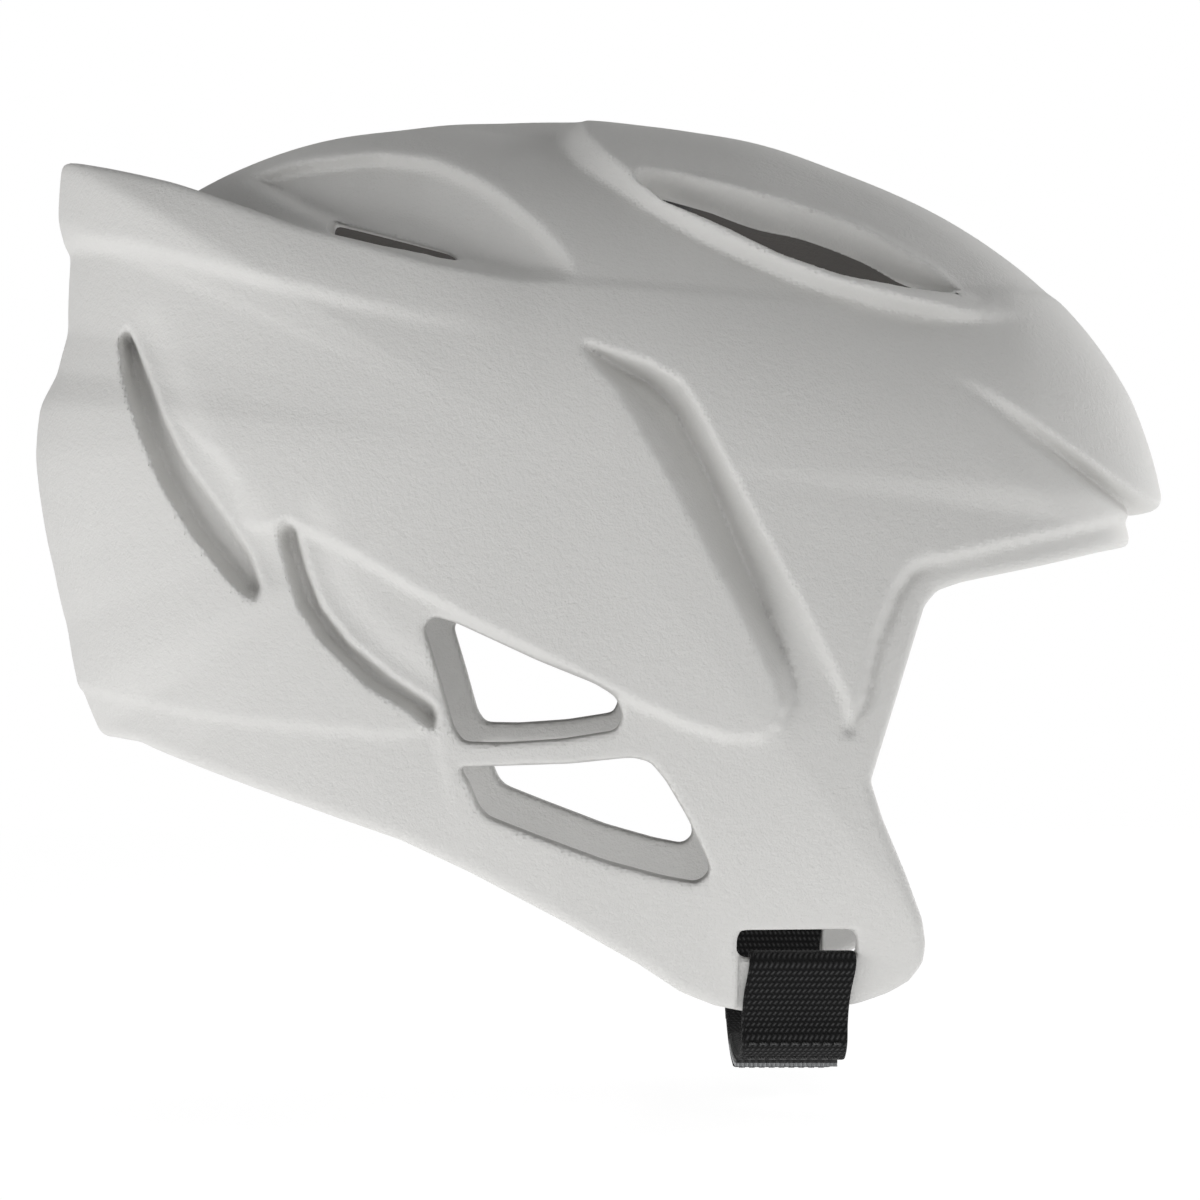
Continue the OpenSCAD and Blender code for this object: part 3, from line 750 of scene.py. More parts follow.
UPPER_EAR: Line = (
    (-30.2, -39.4), (-28, -36.9), (-22.6, -38.5), (-4, -47.1), (8.9, -52.3), (13.7, -55.3), (15.3, -59.6),
    (13.9, -63.1), (1.2, -65.1), (-12, -66), (-21.2, -65.8), (-23.4, -62.8), (-26.6, -51.2))
LOWER_EAR: Line = (
    (-22.3, -71.5), (3.7, -70.6), (17.3, -69.2), (21.5, -70.2), (25, -74.4), (30, -82.9), (35.1, -93.7),
    (35.4, -96.5), (32.6, -98.6), (24.7, -97.1), (11.6, -93.5), (-4.1, -87.6), (-15.8, -83), (-17.8, -80.7),
    (-19.9, -75.4))
BACK_CREASE: Line = (
    (-118, -54), (-109, -56), (-99.8, -57.3), (-86.8, -59.6), (-69.9, -61.6), (-50.7, -63.2), (-35, -64.3),
    (-27.8, -62.2))
BAND_CREASE: Line = (
    (-128, 55), (-118, 53), (-100.4, 50), (-81, 44), (-63, 39), (-52, 36), (-29, 30.5), (0, 27))

# How far a blind slot's shoulder lies from it, and the strap bar's outer and inner faces at two heights

SHOULDER_SHIFT = (5.5, 3.5)
BAR_HEIGHTS = (-130.5, -117.0)
BAR_FACE = (66.5, 75.1)
BAR_BACK = (59.55, 66.98)

# The steps of a ring of radii, in degrees

RING_STEP = 0.25

# Where the right side begins, in millimetres from the middle, and a distance beyond all that matter

SIDE = -20
FAR = 99.0


@dataclass
class FoamShell:
    """The moulded foam body, carved as a field of distances on a fine grid and meshed where it is zero.

    Lengths are in millimetres. A step is how far a face is sunk, a crease how far a narrow line is.
    """

    half_width: float = 103.0
    side_wall: float = 14.0
    power: float = 2.3
    voxel: float = 0.8
    lip_wall: float = 9.0
    gutter: float = 9.0
    panel_step: float = 2.2
    groove_depth: float = 10.0
    brow_step: float = 4.4
    brow_crease: float = 3.4
    rim_crease: float = 1.9
    front_rim_crease: float = 0.8
    ridge_step: float = 5.2
    spine_step: float = 1.8
    scoop_depth: float = 10.0
    band_step: float = 1.9
    back_step: float = 0.9
    slot_depth: float = 7.0
    slot_shoulder: float = 1.4
    vent_tilt: float = 47.0
    strap_x: float = 56.0
    strap_z: float = -113.5
    strap_hole: tuple[float, float, float] = (14.1, 3.5, 2.6)
    channel_half: float = 13.6
    channel_top: float = -110.0
    soften: float = 0.4
    most_triangles: int = 190000
    finish: FoamFinish = field(default_factory=FoamFinish)

    def radius(self, line: Line, angles: np.ndarray) -> np.ndarray:
        """Distance of a drawn outline from the origin, its corners averaged a little, more so on the crown.

        Args:
            line: the outline.
            angles: where it is asked for, in degrees.

        Returns:
            The distance at each angle.
        """
        p = np.array(line, float)
        a = np.degrees(np.arctan2(p[:, 1], p[:, 0])) % 360
        order = np.argsort(a)
        a, r = a[order], np.hypot(*p.T)[order]
        fine = np.arange(0, 360, RING_STEP)
        table = np.interp(fine, np.r_[a[-1] - 360, a, a[0] + 360], np.r_[r[-1], r, r[0]])
        sharp, round_crown = (self.average(table, width) for width in (0.6, 3.0))
        crown_end = 138 if line is LIP_LINE else 172
        table = sharp + ramp(fine, 5, 13) * ramp(fine, crown_end, crown_end - 8) * (round_crown - sharp)
        return np.interp(angles % 360, np.r_[fine, 360], np.r_[table, table[0]])

    @staticmethod
    def average(table: np.ndarray, width: float) -> np.ndarray:
        """Averages a ring of values with a bell.

        Args:
            table: the values, one every RING_STEP degrees.
            width: the bell's width in degrees.

        Returns:
            The averaged ring.
        """
        reach = int(12 * width)
        ring = np.r_[table[-reach:], table, table[:reach]]
        return np.convolve(ring, bell_shares(reach, width, RING_STEP), "valid")

    def body(self, line: Line, width: float) -> np.ndarray:
        """Distance to a rounded body: (r / R)^p + (|y| / W)^p = 1, where R is the side outline's radius.

        Args:
            line: the outline in the side view.
            width: the half width W.

        Returns:
            The field over the grid, below zero inside.
        """
        big_r = self.radius(line, np.degrees(np.arctan2(self.z2, self.x2)))
        flat = (np.hypot(self.x2, self.z2) / big_r) ** self.power
        side = (np.abs(self.y1) / width) ** self.power
        f = (flat[:, None, :] + side[None, :, None]).astype(np.float32)
        np.power(f, 1 / self.power, out=f)
        slope = np.zeros_like(f)
        for axis in range(3):
            slope += np.gradient(f, self.voxel, axis=axis) ** 2
        return (f - 1) / np.sqrt(np.maximum(slope, 1e-8))

    def away(self, line: np.ndarray) -> np.ndarray:
        """Distance of each point of the side view from a line."""
        return distance_to_line(self.x2, self.z2, line)

    def within(self, *parts: Any) -> np.ndarray:
        """True for the points of the side view inside the outline that the parts make."""
        return inside_outline(self.x2, self.z2, np.vstack(parts))

    def outside(self, line: np.ndarray) -> np.ndarray:
        """Distance of each point of the side view from an outline, below zero inside it."""
        return signed_distance(self.x2, self.z2, line)

    def spread(self, values: np.ndarray, width: float) -> np.ndarray:
        """Averages a side view field with a bell that is so many millimetres wide."""
        return blur(values, width / self.voxel)

    def between(self, edge: Line, foot: Line, edge_soft: float = 1.0) -> np.ndarray:
        """A ramp over the area between two lines: the distance to the edge's share of both distances.

        Args:
            edge: the line where the ramp is 0.
            foot: the line where it is 1.
            edge_soft: how far the lines' corners are rounded.

        Returns:
            The ramp, and 0 outside the area.
        """
        a, b = fine_line(edge, edge_soft), fine_line(foot, edge_soft)
        da, db = self.away(a), self.away(b)
        return np.where(self.within(a, b[::-1]), da / np.maximum(da + db, 1e-6), 0)

    def relief(self) -> tuple[np.ndarray, np.ndarray]:
        """How far each point of the side view is sunk below the plain body: the sum of its steps and creases.

        Returns:
            The steps, creases and slots of the sides, and apart from them the valley below the vents' ridge
            with the scoops, which fade out over the crown.
        """
        valley, spine = self.crown()
        slots = [term for line in (REAR_SLOT, SIDE_SLOT) for term in self.blind_slot(line)]
        return sum([*self.panel(), *self.brow(), spine, *self.rear(), *slots], np.zeros_like(self.x2)), valley

    def panel(self) -> list[np.ndarray]:
        """The side panel: all below its edge is sunk by one step, and the V groove in front of it by more.

        Returns:
            The step, and the groove, whose wall and bevel both ramp down to its foot.
        """
        x, z = self.x2, self.z2
        frame_corners = [(170, -12.5), (170, -210), (-170, -210), (-170, 34)]
        low = np.array([*PANEL_FOOT, *PANEL_EDGE[::-1], *FRONT_EDGE, *RIM_EDGE[::-1], *frame_corners])
        step = np.where(self.outside(low) < 0, self.panel_step * ramp(x, -100, -60), 0)
        wall, bevel = (self.between(edge, GROOVE_FOOT, 0.6) for edge in (PANEL_EDGE, FRONT_EDGE))
        deep = self.groove_depth * ramp(z, 27, 17) * (1 - ramp(z, -26, -64))
        groove = wall * deep + bevel * (deep * (1 - 0.55 * ramp(z, -20, -50)))
        return [self.spread(step, 0.6), self.spread(groove, 0.35)]

    def brow(self) -> list[np.ndarray]:
        """The brow: a step under its edge that fades out below, with a crease, and the crease along the rim.

        Returns:
            The step and the two creases.
        """
        x = self.x2
        foot = fine_line(BROW_FOOT, 0.6)
        under = self.away(foot)
        below = self.within(foot, [(170, -17), (170, -60), (88, -60)])
        nose = self.between(BROW_TOP, BROW_FOOT, 0.6)
        step = self.brow_step * ramp(x, 86, 136) * (nose + np.where(below, 1 - ramp(under, 0, 13), 0))
        rim = self.rim_crease * ramp(x, 90, 82) + self.front_rim_crease * ramp(x, 118, 132)
        return [self.spread(step, 0.5), self.brow_crease * ramp(x, 90, 130) * bell(under, 1.6),
                rim * bell(self.away(fine_line(RIM_EDGE, 0.8)), 1.5)]

    def crown(self) -> tuple[np.ndarray, np.ndarray]:
        """The crown: a ridge over the vents with a valley beside it, the scoops' hollows and the spine.

        Returns:
            The valley with the scoops, and the spine's slope.
        """
        x = self.x2
        outer = fine_line(RIDGE_OUTER, 1.0)
        beside = self.within(outer, [(125, 33), (125, -60), (-80, -60), (-80, 96)])
        fade = np.where(beside, bell(self.away(outer), 24.0, 1.3), 0)
        valley = self.ridge_step * ramp(x, 114, 80) * (self.between(RIDGE_INNER, RIDGE_OUTER) + fade)
        arch = self.away(fine_line(SCOOP_ARCH, 1.5))
        hollow = np.minimum(2.5 * ramp(arch, 0, 3) + 0.5 * arch, self.scoop_depth)
        scoops = np.where(self.within(fine_line(SCOOP, 0.8, closed=True)), hollow, 0)
        slope = self.between(SPINE_SIDE[:7], SPINE_SIDE[:6:-1])
        spine = self.spine_step * ramp(x, 10, 40) * ramp(x, 112, 96) * slope
        return self.spread(valley, 0.5) + self.spread(scoops, 0.9), self.spread(spine, 0.7)

    def rear(self) -> list[np.ndarray]:
        """The rear: a step below the band's crease and one below the back's, each fading like a bell.

        Returns:
            Both steps.
        """
        crease = fine_line(BAND_CREASE, 2.0)
        lower = self.within([(-150, 55)], crease, [(0, -20), (-150, -20)])
        band = self.spread(np.where(lower, self.band_step * bell(self.away(crease), 26.0), 0), 1.1)
        crease = fine_line(BACK_CREASE, 1.0)
        under = self.within(crease, [(-20, -100), (-150, -100)])
        back = self.spread(np.where(under, self.back_step * bell(self.away(crease), 16.0), 0), 0.7)
        return [band * ramp(self.x2, -4, -64), back]

    def blind_slot(self, line: Line) -> list[np.ndarray]:
        """One blind slot: a steep hole in the outline, and a low soft shoulder on its front side.

        Args:
            line: the slot's outline.

        Returns:
            The shoulder and the hole.
        """
        edge = self.outside(fine_line(line, 0.5, 0.7, True))
        near = (edge < 9).astype(float) * self.within(np.array(line) + SHOULDER_SHIFT)
        hole = np.where(edge < 0, self.slot_depth * ease(-edge / 2.4 + 0.3), 0)
        return [self.slot_shoulder * self.spread(near, 2.2), self.spread(hole, 0.35)]

    def carve(self) -> np.ndarray:
        """Works out the right half's field: the bodies and the relief, less the openings and the head space.

        Returns:
            The field, below zero in the foam.
        """
        v = self.voxel
        self.x1 = np.arange(-134, 154, v)
        self.y1 = -np.arange(0, self.half_width + 3, v)[::-1]
        self.z1 = np.arange(-134, 100, v)
        self.x2, self.z2 = (a.astype(float) for a in np.meshgrid(self.x1, self.z1, indexing="ij"))
        y3 = self.y1[None, :, None]
        sunk, valley = self.relief()
        solid = self.outer_body() + deepen(sunk) + deepen(valley) * ramp(-y3, 8, 28).astype(np.float32)
        self.head = self.body(HEAD_LINE, self.half_width - self.side_wall)
        solid = smooth_most(solid, -self.head, 3.0)
        border = [*LOWER_EDGE, (-200, -67), (-200, 200), (200, 200), (200, -9.5)]
        solid = smooth_most(solid, deepen(self.outside(fine_line(border, 0.5, closed=True))), 3.0)
        self.ears = np.full_like(self.x2, FAR)
        for line in (UPPER_EAR, LOWER_EAR):
            hole = self.outside(fine_line(line, 0.9, 0.8, True))
            solid = self.cut_sides(solid, hole, 1.2)
            self.ears = np.minimum(self.ears, np.abs(hole))
        for line in (SCOOP_SLIT, VENT_SLIT):
            solid = self.cut_sides(solid, self.outside(fine_line(line, 0.6, 0.8, True)), 0.8)
        return self.cut_strap(self.cut_vent(solid)).astype(np.float32)

    def outer_body(self) -> np.ndarray:
        """The dome and the rear lip over it, which ends at its edge and has a gutter behind it.

        Returns:
            The field of both together.
        """
        line = fine_line(LIP_EDGE, 2.0)
        over = np.interp(self.x1, line[:, 0], line[:, 1])
        slope = np.gradient(over, self.x1)
        over_edge = (self.z2 - over[:, None]) / np.sqrt(1 + slope[:, None] ** 2)
        dome, lip = self.body(DOME_LINE, self.half_width), self.body(LIP_LINE, self.half_width)
        gutter = smooth_most(lip + self.lip_wall, -deepen(over_edge + self.gutter), 4.0)
        lip = smooth_most(smooth_most(lip, deepen(over_edge), 2.0), -gutter, 2.5)
        return smooth_least(dome, lip, 2.5)

    def cut_sides(self, solid: np.ndarray, hole: np.ndarray, round_off: float) -> np.ndarray:
        """Cuts a hole straight through the sides and leaves the middle as it is.

        Args:
            solid: the field so far.
            hole: the hole's own field in the side view, below zero inside.
            round_off: how far its edges are rounded.

        Returns:
            The new field.
        """
        return np.where(self.y1[None, :, None] < SIDE, smooth_most(solid, -deepen(hole), round_off), solid)

    def cut_vent(self, solid: np.ndarray) -> np.ndarray:
        """Drills the lens vent along its tilt below the level: the outline is drawn across that way.

        Args:
            solid: the field so far.

        Returns:
            The new field.
        """
        down, level = math.sin(math.radians(self.vent_tilt)), math.cos(math.radians(self.vent_tilt))
        outline = fine_line(VENT, 0.8, closed=True)
        angles = np.degrees(np.arctan2(outline[:, 1], outline[:, 0]))
        share = np.hypot(*outline.T) / self.radius(DOME_LINE, angles)
        out = self.half_width * np.maximum(0, 1 - np.minimum(share, 1) ** self.power) ** (1 / self.power)
        across = outline[:, 1] * level - out * down
        line = fine_line(np.stack([outline[:, 0], across], 1), 1.8, closed=True)
        near = (self.x1 > 8) & (self.x1 < 106)
        q1 = np.arange(-80, 90, self.voxel / 2)
        xq, qq = np.meshgrid(self.x1[near], q1, indexing="ij")
        flat = signed_distance(xq, qq, line)
        q = self.z1[None, :] * level + self.y1[:, None] * down
        place = np.clip((q - q1[0]) / (q1[1] - q1[0]), 0, len(q1) - 2)
        low = place.astype(int)
        part = place - low
        hole = flat[:, low] * (1 - part) + flat[:, low + 1] * part
        reach = self.y1[:, None] * level - self.z1[None, :] * down
        hole = np.where(reach[None] < -25, hole, 9.0)
        solid[near] = smooth_most(solid[near], -hole.astype(np.float32), 1.6)
        return solid

    def cut_strap(self, solid: np.ndarray) -> np.ndarray:
        """Cuts the round-cornered strap slot through the flap, and the channels on both faces of its bar.

        Args:
            solid: the field so far.

        Returns:
            The new field.
        """
        x3, y3, z3 = self.x1[:, None, None], self.y1[None, :, None], self.z1[None, None, :]
        half, high, corner = self.strap_hole
        dx = np.maximum(np.abs(x3 - self.strap_x) - half + corner, 0)
        dz = np.maximum(np.abs(z3 - self.strap_z) - high + corner, 0)
        solid = np.where(y3 < SIDE, smooth_most(solid, corner - np.sqrt(dx * dx + dz * dz), 1.0), solid)
        span = np.maximum(np.abs(x3 - self.strap_x) - self.channel_half, z3 - self.channel_top)
        face, back = (np.interp(z3, BAR_HEIGHTS, depths) for depths in (BAR_FACE, BAR_BACK))
        for cut in (np.maximum(span, face + y3), np.maximum(span, -y3 - back)):
            solid = smooth_most(solid, -cut, 0.8)
        return solid

    def build(self) -> None:
        """Meshes the field on both sides of the middle, thins the mesh, and shades and marks it."""
        half = self.carve()
        whole = np.concatenate([half, half[:, -2::-1, :]], 1)
        whole = soften(np.clip(whole, -3 * self.voxel, 3 * self.voxel), self.soften)
        grid = openvdb.FloatGrid(3.0 * self.voxel)
        grid.copyFromArray(whole)
        points, quads = grid.convertToQuads(isovalue=0.0)
        origin = np.array([self.x1[0], self.y1[0], self.z1[0]])
        points = (np.asarray(points, float) * self.voxel + origin) * MM
        faces = np.asarray(quads)[:, ::-1].tolist()
        obj = put_mesh("foam_body", points, faces, self.finish.material(), "shell")
        apply_modifier(obj, "DECIMATE", ratio=min(1.0, self.most_triangles / (2 * len(quads))))
        points = (read(obj.data.vertices, "co") / MM - origin) / self.voxel
        self.shade(obj.data, whole, points)
        self.mark(obj.data, whole, points)
        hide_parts("foam_shell")
        LOG.info("foam_body: %d triangles", sum(len(face.vertices) - 2 for face in obj.data.polygons))

    def shade(self, mesh: bpy.types.Mesh, whole: np.ndarray, points: np.ndarray) -> None:
        """Gives each corner of a face the field's slope a little inside that face, so that edges stay crisp.

        Args:
            mesh: the shell's mesh.
            whole: the field on both sides of the middle.
            points: the mesh's points, counted in grid steps.
        """
        corner, sides = read(mesh.loops, "vertex_index", 1), read(mesh.polygons, "loop_total", 1)
        owner = np.repeat(np.arange(len(sides)), sides)
        place = points[corner]
        middle = np.stack([np.bincount(owner, place[:, i]) for i in range(3)], 1) / sides[:, None]
        normals = slope_at(whole, place + 0.3 * (middle[owner] - place))
        if (read(mesh.polygons, "normal")[owner] * normals).sum() < 0:
            mesh.flip_normals()
        mesh.normals_split_custom_set(normals)

    def mark(self, mesh: bpy.types.Mesh, whole: np.ndarray, points: np.ndarray) -> None:
        """Marks where shade is painted: the head side of the crown in full, and the walls of the ear openings
        at up to 0.4.

        Args:
            mesh: the shell's mesh.
            whole: the field on both sides of the middle.
            points: the mesh's points, counted in grid steps.
        """
        half = points.copy()
        half[:, 1] = np.minimum(points[:, 1], 2 * (len(self.y1) - 1) - points[:, 1])
        # Painted shade on the head side: full at the head space's surface from 36 mm high up, none below 14
        # mm.
        near = np.abs(value_at(self.head, half))
        high = ramp(points[:, 2] * self.voxel + self.z1[0], 14, 36)
        i, k = (np.round(points[:, axis]).astype(int) for axis in (0, 2))
        level = np.abs(slope_at(whole, points)[:, 1])
        # Painted shade on the ear openings' walls, at up to 0.4.
        ear_wall_shade = 0.4 * ramp(self.ears[i, k], 1.6, 0.8) * ramp(level, 0.7, 0.4)
        painted_inner_shade = mesh.attributes.new("painted_inner_shade", "FLOAT", "POINT")
        painted_inner_shade.data.foreach_set("value", np.maximum(ramp(near, 0.75, 0.35) * high, ear_wall_shade).astype(np.float32))


@dataclass
class ChinStrap:
    """The two webbing halves, each one band from its sewn end round the foam bar and on under the chin.

    Lengths are in millimetres, but for bend, two heights in metres, which is not used.
    """

    x: float = 56.0
    width: float = 25.0
    thick: float = 1.6
    hinge_y: float = 64.2309
    hinge_z: float = -134.0
    low_depth: float = 15.7
    high_depth: float = 11.9
    overlap: float = 21.941
    sway: float = 1.4
    cord_pitch: float = 1.25
    cord_height: float = 0.03
    bend: tuple[float, float] = (-0.1332, -0.1350)
    finish: WebbingFinish = field(default_factory=WebbingFinish)

    def sag(self, depth: float, turns: np.ndarray, offset: float) -> np.ndarray:
        """Points under the chin: a quarter ellipse, moved along its normal.

        Its points are hinge_y cos t from the middle and hinge_z - depth sin t high.

        Args:
            depth: how far the band sags.
            turns: the turns t, in degrees.
            offset: how far the points are moved.

        Returns:
            The points, as [distance from the middle, height].
        """
        t = np.radians(turns)
        normal = np.stack([depth * np.cos(t), -self.hinge_y * np.sin(t)], 1)
        normal /= np.linalg.norm(normal, axis=1, keepdims=True)
        return np.stack([self.hinge_y * np.cos(t), self.hinge_z - depth * np.sin(t)], 1) + offset * normal

    def path(self, depth: float, end: float) -> np.ndarray:
        """Middle of the webbing, from the sewn end round the bar to the far end.

        Args:
            depth: how far the band sags.
            end: the turn where it ends, in degrees.

        Returns:
            The points, as [distance from the middle, height].
        """
        half = self.thick / 2
        sewn = self.sag(depth, np.linspace(31, 7, 14), half + self.thick * 0.5 + 0.1)
        bar = np.array([
            (64.9, -134.0), (66.2, -131.8), (66.6 + half, -130.3), (70.8 + half, -124.5),
            (75.1 + half, -117.6), (75.2, -116.2), (73.5, -115.9), (71.0, -116.05), (68.4, -116.2),
            (66.9 - half, -117.2), (63.2 - half, -123.8), (59.6 - half, -130.0), (60.0, -131.6),
            (62.4, -133.4), (63.5, -134.2)])
        band = self.sag(depth, np.linspace(3, end, 90), 0.0)
        return fine_line([*sewn.tolist(), *bar.tolist(), *band.tolist()], 0.9, 0.6)

    def section(self) -> np.ndarray:
        """The webbing's flat section, with half-round edges.

        Returns:
            Its points, as [along the width, along the thickness].
        """
        half, thick = self.width / 2, self.thick / 2
        top = np.stack([np.linspace(-1, 1, 25)[:-1] * (half - thick), np.full(24, thick)], 1)
        turn = np.radians(np.linspace(90, -90, 7)[:-1])
        right = np.stack([half - thick + thick * np.cos(turn), thick * np.sin(turn)], 1)
        return np.vstack([top, right, -top, -right])

    def band(self, name: str, side: int, depth: float, end: float,
             material: bpy.types.Material) -> bpy.types.Object:
        """Sweeps the section along the path, ribbed by its cords and swayed forward at the slot.

        Args:
            name: the piece's name.
            side: -1 for the wearer's right, 1 for the left.
            depth: how far the band sags.
            end: the turn where it ends, in degrees.
            material: its finish.

        Returns:
            The piece.
        """
        path, section = self.path(depth, end), self.section()
        run, girth = run_length(path), run_length(section)
        along = np.gradient(path, axis=0)
        along /= np.linalg.norm(along, axis=1, keepdims=True)
        normal = np.stack([along[:, 1], -along[:, 0]], 1)
        cords = 1 + self.cord_height * np.cos(run / self.cord_pitch * 2 * np.pi)
        sway = self.sway * bell(path[:, 1] + 117, 7)
        x = self.x + section[None, :, 0] + sway[:, None]
        yz = path[:, None, :] + section[None, :, 1, None] * normal[:, None, :] * cords[:, None, None]
        points = np.stack([x, side * yz[..., 0], yz[..., 1]], -1).reshape(-1, 3)
        n, m = len(path), len(section)
        i, j = np.meshgrid(np.arange(n - 1), np.arange(m), indexing="ij")
        k = (j + 1) % m
        quads = np.stack([i * m + j, i * m + k, (i + 1) * m + k, (i + 1) * m + j], -1).reshape(-1, 4)
        caps = [list(range(m)), list(range((n - 1) * m, n * m))[::-1]]
        if side > 0:
            quads = quads[:, ::-1]
        else:
            caps = [cap[::-1] for cap in caps]
        obj = put_mesh(name, points * MM, [*quads.tolist(), *caps], material, "")
        uv = obj.data.uv_layers.new(name="weave")
        corner = read(obj.data.loops, "vertex_index", 1)
        uv.data.foreach_set("uv", (np.stack([run[corner // m], girth[corner % m]], 1) * MM).ravel())
        return obj

    def build(self) -> None:
        """Builds both halves in place of the strap solids, which it hides."""
        material = self.finish.material()
        halves = (("right", -1, self.high_depth, 90 + self.overlap), ("left", 1, self.low_depth, 90.0))
        for name, side, depth, end in halves:
            obj = self.band(f"{name}_webbing", side, depth, end, material)
            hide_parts(f"{name}_strap_loop", f"{name}_strap")
            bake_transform(obj)
            LOG.info("%s: %d faces", obj.name, len(obj.data.polygons))


@dataclass
class ComfortPads:
    """The fabric covered pads inside the shell, puffed up by cloth pressure with their backs held still.

    Lengths are in metres. A point is part of the back where its normal leans outward by back_facing.
    """

    names: tuple[str, ...] = ("brow_pad", "crown_pad", "rear_pad", "right_side_pad", "left_side_pad",
                              "right_jaw_pad", "left_jaw_pad")
    voxel: float = 0.0045
    pressure: float = 4.0
    cap: float = 0.005
    steps: int = 20
    back_facing: float = 0.45
    give: float = 0.7
    finish: KnitFinish = field(default_factory=KnitFinish)

    def build(self) -> None:
        """Builds each pad from its solid's form."""
        material = self.finish.material()
        for name in self.names:
            obj = self.pad(name, material)
            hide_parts(name)
            LOG.info("%s: %d faces", obj.name, len(obj.data.polygons))

    def pad(self, name: str, material: bpy.types.Material) -> bpy.types.Object:
        """Makes one pad: remesh, cloth pressure, a cap on how far a point may move, and one subdivision.

        Args:
            name: the pad's node.
            material: its finish.

        Returns:
            The piece.
        """
        mesh = frame["nodes"][name].data.copy()
        obj = put_object(f"{name}_cover", mesh)
        mesh.materials.clear()
        mesh.materials.append(material)
        apply_modifier(obj, "WELD", merge_threshold=1e-5)
        apply_modifier(obj, "REMESH", mode="VOXEL", voxel_size=self.voxel)
        self.puff(obj)
        apply_modifier(obj, "SUBSURF", levels=1, render_levels=1)
        obj.data.polygons.foreach_set("use_smooth", np.full(len(obj.data.polygons), True))
        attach(obj, "shell")
        return obj

    def puff(self, obj: bpy.types.Object) -> None:
        """Runs the cloth with its back pinned, which faces away from the origin, and caps each point's move.

        Args:
            obj: the pad.
        """
        rest = read(obj.data.vertices, "co")
        way = rest / np.maximum(np.linalg.norm(rest, axis=1, keepdims=True), 1e-9)
        back = (read(obj.data.vertices, "normal") * way).sum(1) > self.back_facing
        group = obj.vertex_groups.new(name="back")
        group.add(np.flatnonzero(back).tolist(), 1.0, "REPLACE")
        cloth = obj.modifiers.new("cloth", "CLOTH")
        cloth.settings.quality = 5
        cloth.settings.use_pressure = True
        cloth.settings.uniform_pressure_force = self.pressure
        cloth.settings.vertex_group_mass = group.name
        cloth.settings.effector_weights.gravity = 0
        cloth.point_cache.frame_end = self.steps
        for step in range(1, self.steps + 1):
            bpy.context.scene.frame_set(step)
        bpy.context.view_layer.objects.active = obj
        bpy.ops.object.modifier_apply(modifier=cloth.name)
        bpy.context.scene.frame_set(1)
        moved = read(obj.data.vertices, "co") - rest
        length = np.linalg.norm(moved, axis=1, keepdims=True)
        moved *= np.minimum(1, self.cap / np.maximum(length, 1e-9))
        obj.data.vertices.foreach_set("co", (rest + moved).ravel())


class Trim(Enum):
    """The kept solids by the finish they take."""

    HOOKS = ("brow_hook_patches", "crown_hook_patches", "rear_hook_patches", "right_side_hook_patch",
             "left_side_hook_patch", "right_jaw_hook_patch", "left_jaw_hook_patch", "strap_hook_tab")
    PILE = ("strap_loop_tape",)
    BLACK_THREAD = ("right_strap_stitching", "left_strap_stitching")
    GREY_THREAD = ("hook_tab_stitching",)


TRIM_FINISHES = {
    Trim.HOOKS: HookFinish("grey_hooks", (0.20, 0.205, 0.21), (0.5, 0.51, 0.52)),
    Trim.PILE: HookFinish("black_pile", (0.006, 0.006, 0.006), (0.03, 0.03, 0.03), 0.0017),
    Trim.BLACK_THREAD: ThreadFinish("black_thread", (0.008, 0.008, 0.008), (0.05, 0.05, 0.05)),
    Trim.GREY_THREAD: ThreadFinish("grey_thread", (0.18, 0.18, 0.19), (0.45, 0.45, 0.46)),
}


def dress_trim() -> None:
    """Gives the kept solids their finishes."""
    for kind, finish in TRIM_FINISHES.items():
        material = finish.material()
        for name in kind.value:
            mesh = frame["nodes"][name].data
            mesh.materials.clear()
            mesh.materials.append(material)
            LOG.info("%s: dressed", name)


@dataclass(frozen=True)
class Lamp:
    """A wide soft lamp that faces the helmet."""

    name: str
    place: tuple[float, float, float]
    size: tuple[float, float]
    power: float
    aim: tuple[float, float, float] = (0.0, 0.0, -0.03)

    def build(self) -> None:
        """Makes the lamp, turned so that its own -Z points at the helmet."""
        data = bpy.data.lights.new(self.name, "AREA")
        data.shape = "RECTANGLE"
        data.size, data.size_y, data.energy = *self.size, self.power
        obj = put_object(self.name, data)
        obj.location = self.place
        obj.rotation_euler = (Vector(self.aim) - Vector(self.place)).to_track_quat("-Z", "Y").to_euler()


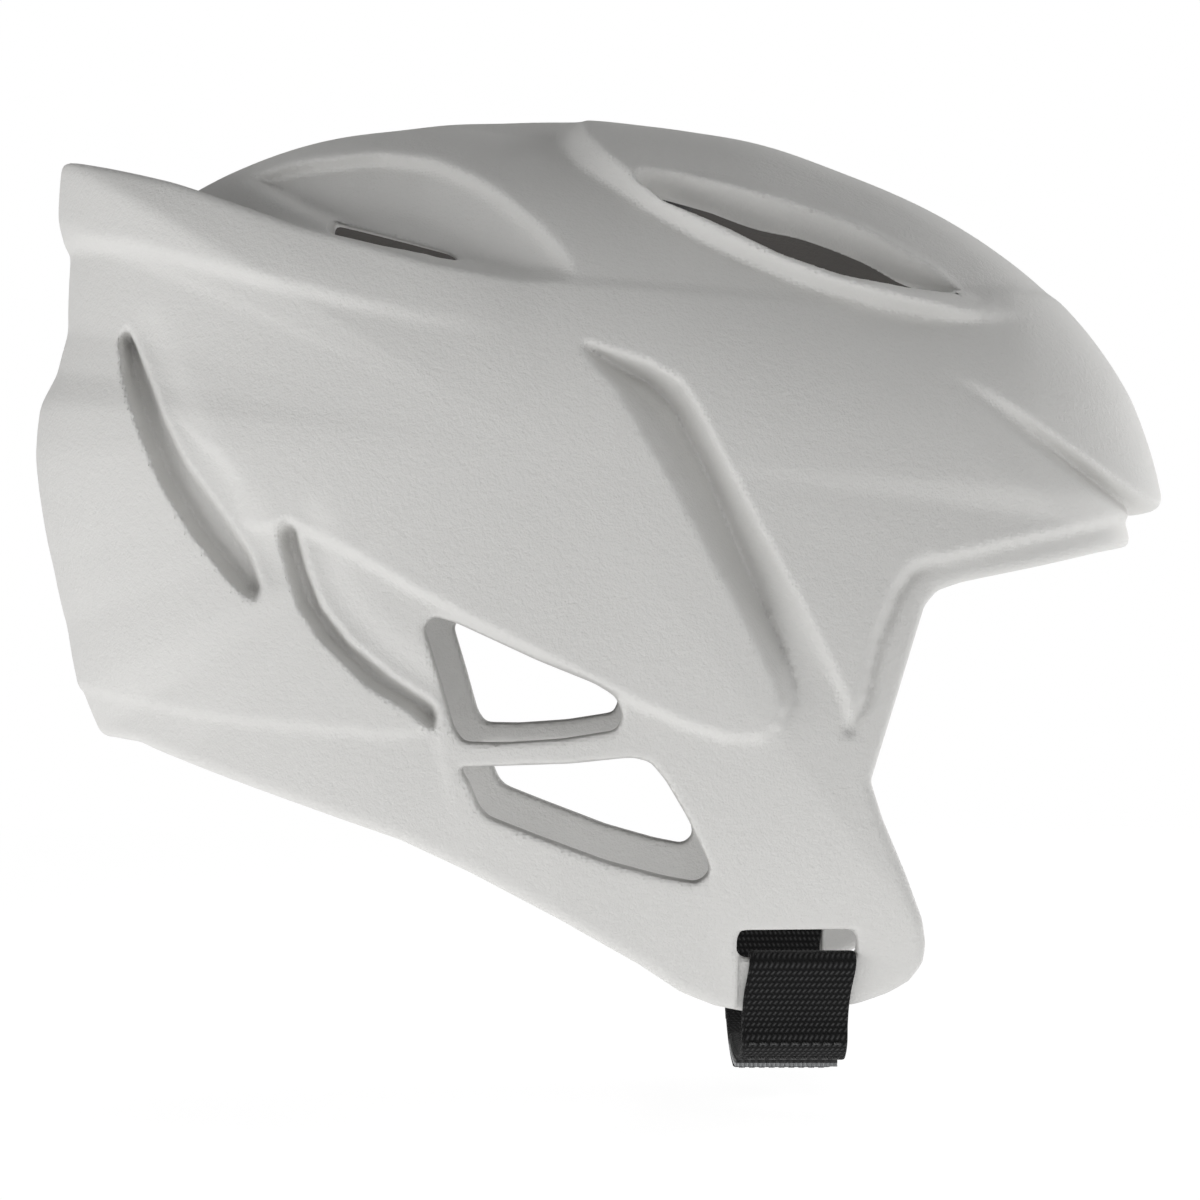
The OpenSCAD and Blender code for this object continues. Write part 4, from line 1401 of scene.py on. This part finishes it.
@dataclass
class Studio:
    """Pale floor, soft lamps and the camera, in metres, with the lens and the sensor in millimetres."""

    floor_z: float = -0.158
    floor_half: float = 6.0
    floor_glow: float = 0.76
    surround: float = 0.0
    lamps: tuple[Lamp, ...] = (
        Lamp("rear_side_soft", (-1.47, -0.85, 0.0), (1.3, 0.25), 9.5),
        Lamp("far_front_soft", (1.3, 1.1, 0.35), (1.0, 0.7), 16.0),
        Lamp("overhead_soft", (0.0, 0.0, 1.7), (1.2, 1.2), 5.2),
        Lamp("near_high_soft", (0.0, -1.4, 0.9), (1.2, 0.7), 2.8),
        Lamp("front_soft", (1.60, -0.25, 0.50), (1.0, 0.7), 3.8))
    lens: float = 120.2
    sensor: float = 36.0
    shift: tuple[float, float] = (2 / 1200, 20 / 1200)
    camera_place: tuple[float, float, float] = (0.0096, -1.010, -0.0378)

    def build(self) -> None:
        """Sets everything up."""
        self.floor()
        self.world()
        for lamp in self.lamps:
            lamp.build()
        self.camera()
        bpy.context.scene.view_settings.view_transform = "Standard"

    def floor(self) -> None:
        """A wide pale floor that glows softly up at the helmet and that the camera sees as white.

        The white's share is 0.78 near the helmet, where the shadow shows through, and 1 from 1.35 m on.
        """
        g = Graph.material("floor_white")
        shade = g.add("ShaderNodeBsdfDiffuse", inputs={"Color": (0.8, 0.8, 0.8, 1)})
        glow = g.add("ShaderNodeEmission", inputs={"Color": WHITE, "Strength": self.floor_glow})
        lit = g.add("ShaderNodeAddShader", inputs={0: shade, 1: glow})
        white = g.add("ShaderNodeEmission", inputs={"Color": WHITE, "Strength": 1.0})
        x, y, _ = g.axes()
        away = (x * x + y * y).power(0.5) - 0.35
        share = self.seen(g) * (0.78 + 0.22 * away.clamp())
        mesh = bpy.data.meshes.new("floor")
        corners_2d = ((-1, -1), (1, -1), (1, 1), (-1, 1))
        points = [(i * self.floor_half, j * self.floor_half, self.floor_z) for i, j in corners_2d]
        mesh.from_pydata(points, [], [(0, 1, 2, 3)])
        mesh.materials.append(g.close(g.add("ShaderNodeMixShader", inputs={0: share, 1: lit, 2: white})))
        put_object("floor", mesh)

    @staticmethod
    def seen(g: Graph) -> Sock:
        """A value that is 1 for camera, glossy and transmission rays, and 0 for the rest.

        Args:
            g: the material or world that it is for.

        Returns:
            The value.
        """
        rays = g.add("ShaderNodeLightPath").socket.node.outputs
        kinds = ("Camera", "Glossy", "Transmission")
        camera, glossy, through = (Sock(g, rays[f"Is {kind} Ray"]) for kind in kinds)
        return camera.most(glossy).most(through)

    def world(self) -> None:
        """A dim surround for the light and a white one for the camera."""
        world = bpy.data.worlds.new("studio")
        bpy.context.scene.world = world
        g = Graph(world)
        light = g.add("ShaderNodeBackground", inputs={0: (0.97, 0.985, 1.0, 1), 1: self.surround})
        white = g.add("ShaderNodeBackground", inputs={0: WHITE})
        g.close(g.add("ShaderNodeMixShader", inputs={0: self.seen(g), 1: light, 2: white}))

    def camera(self) -> None:
        """The photograph's view: level, square to the wearer's right side, 1.01 m from the middle."""
        data = bpy.data.cameras.new("photo_view")
        data.sensor_width, data.lens, data.clip_end = self.sensor, self.lens, 30
        data.shift_x, data.shift_y = self.shift
        obj = put_object("photo_view", data)
        obj.location = self.camera_place
        obj.rotation_euler = (math.pi / 2, 0, 0)
        bpy.context.scene.camera = obj


def main() -> None:
    """Builds the pieces in order."""
    logging.basicConfig(level=logging.INFO, format="%(name)s: %(message)s")
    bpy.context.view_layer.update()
    Studio().build()
    FoamShell(voxel=FoamShell.voxel).build()
    ChinStrap().build()
    ComfortPads().build()
    dress_trim()


if __name__ == "__main__":
    main()
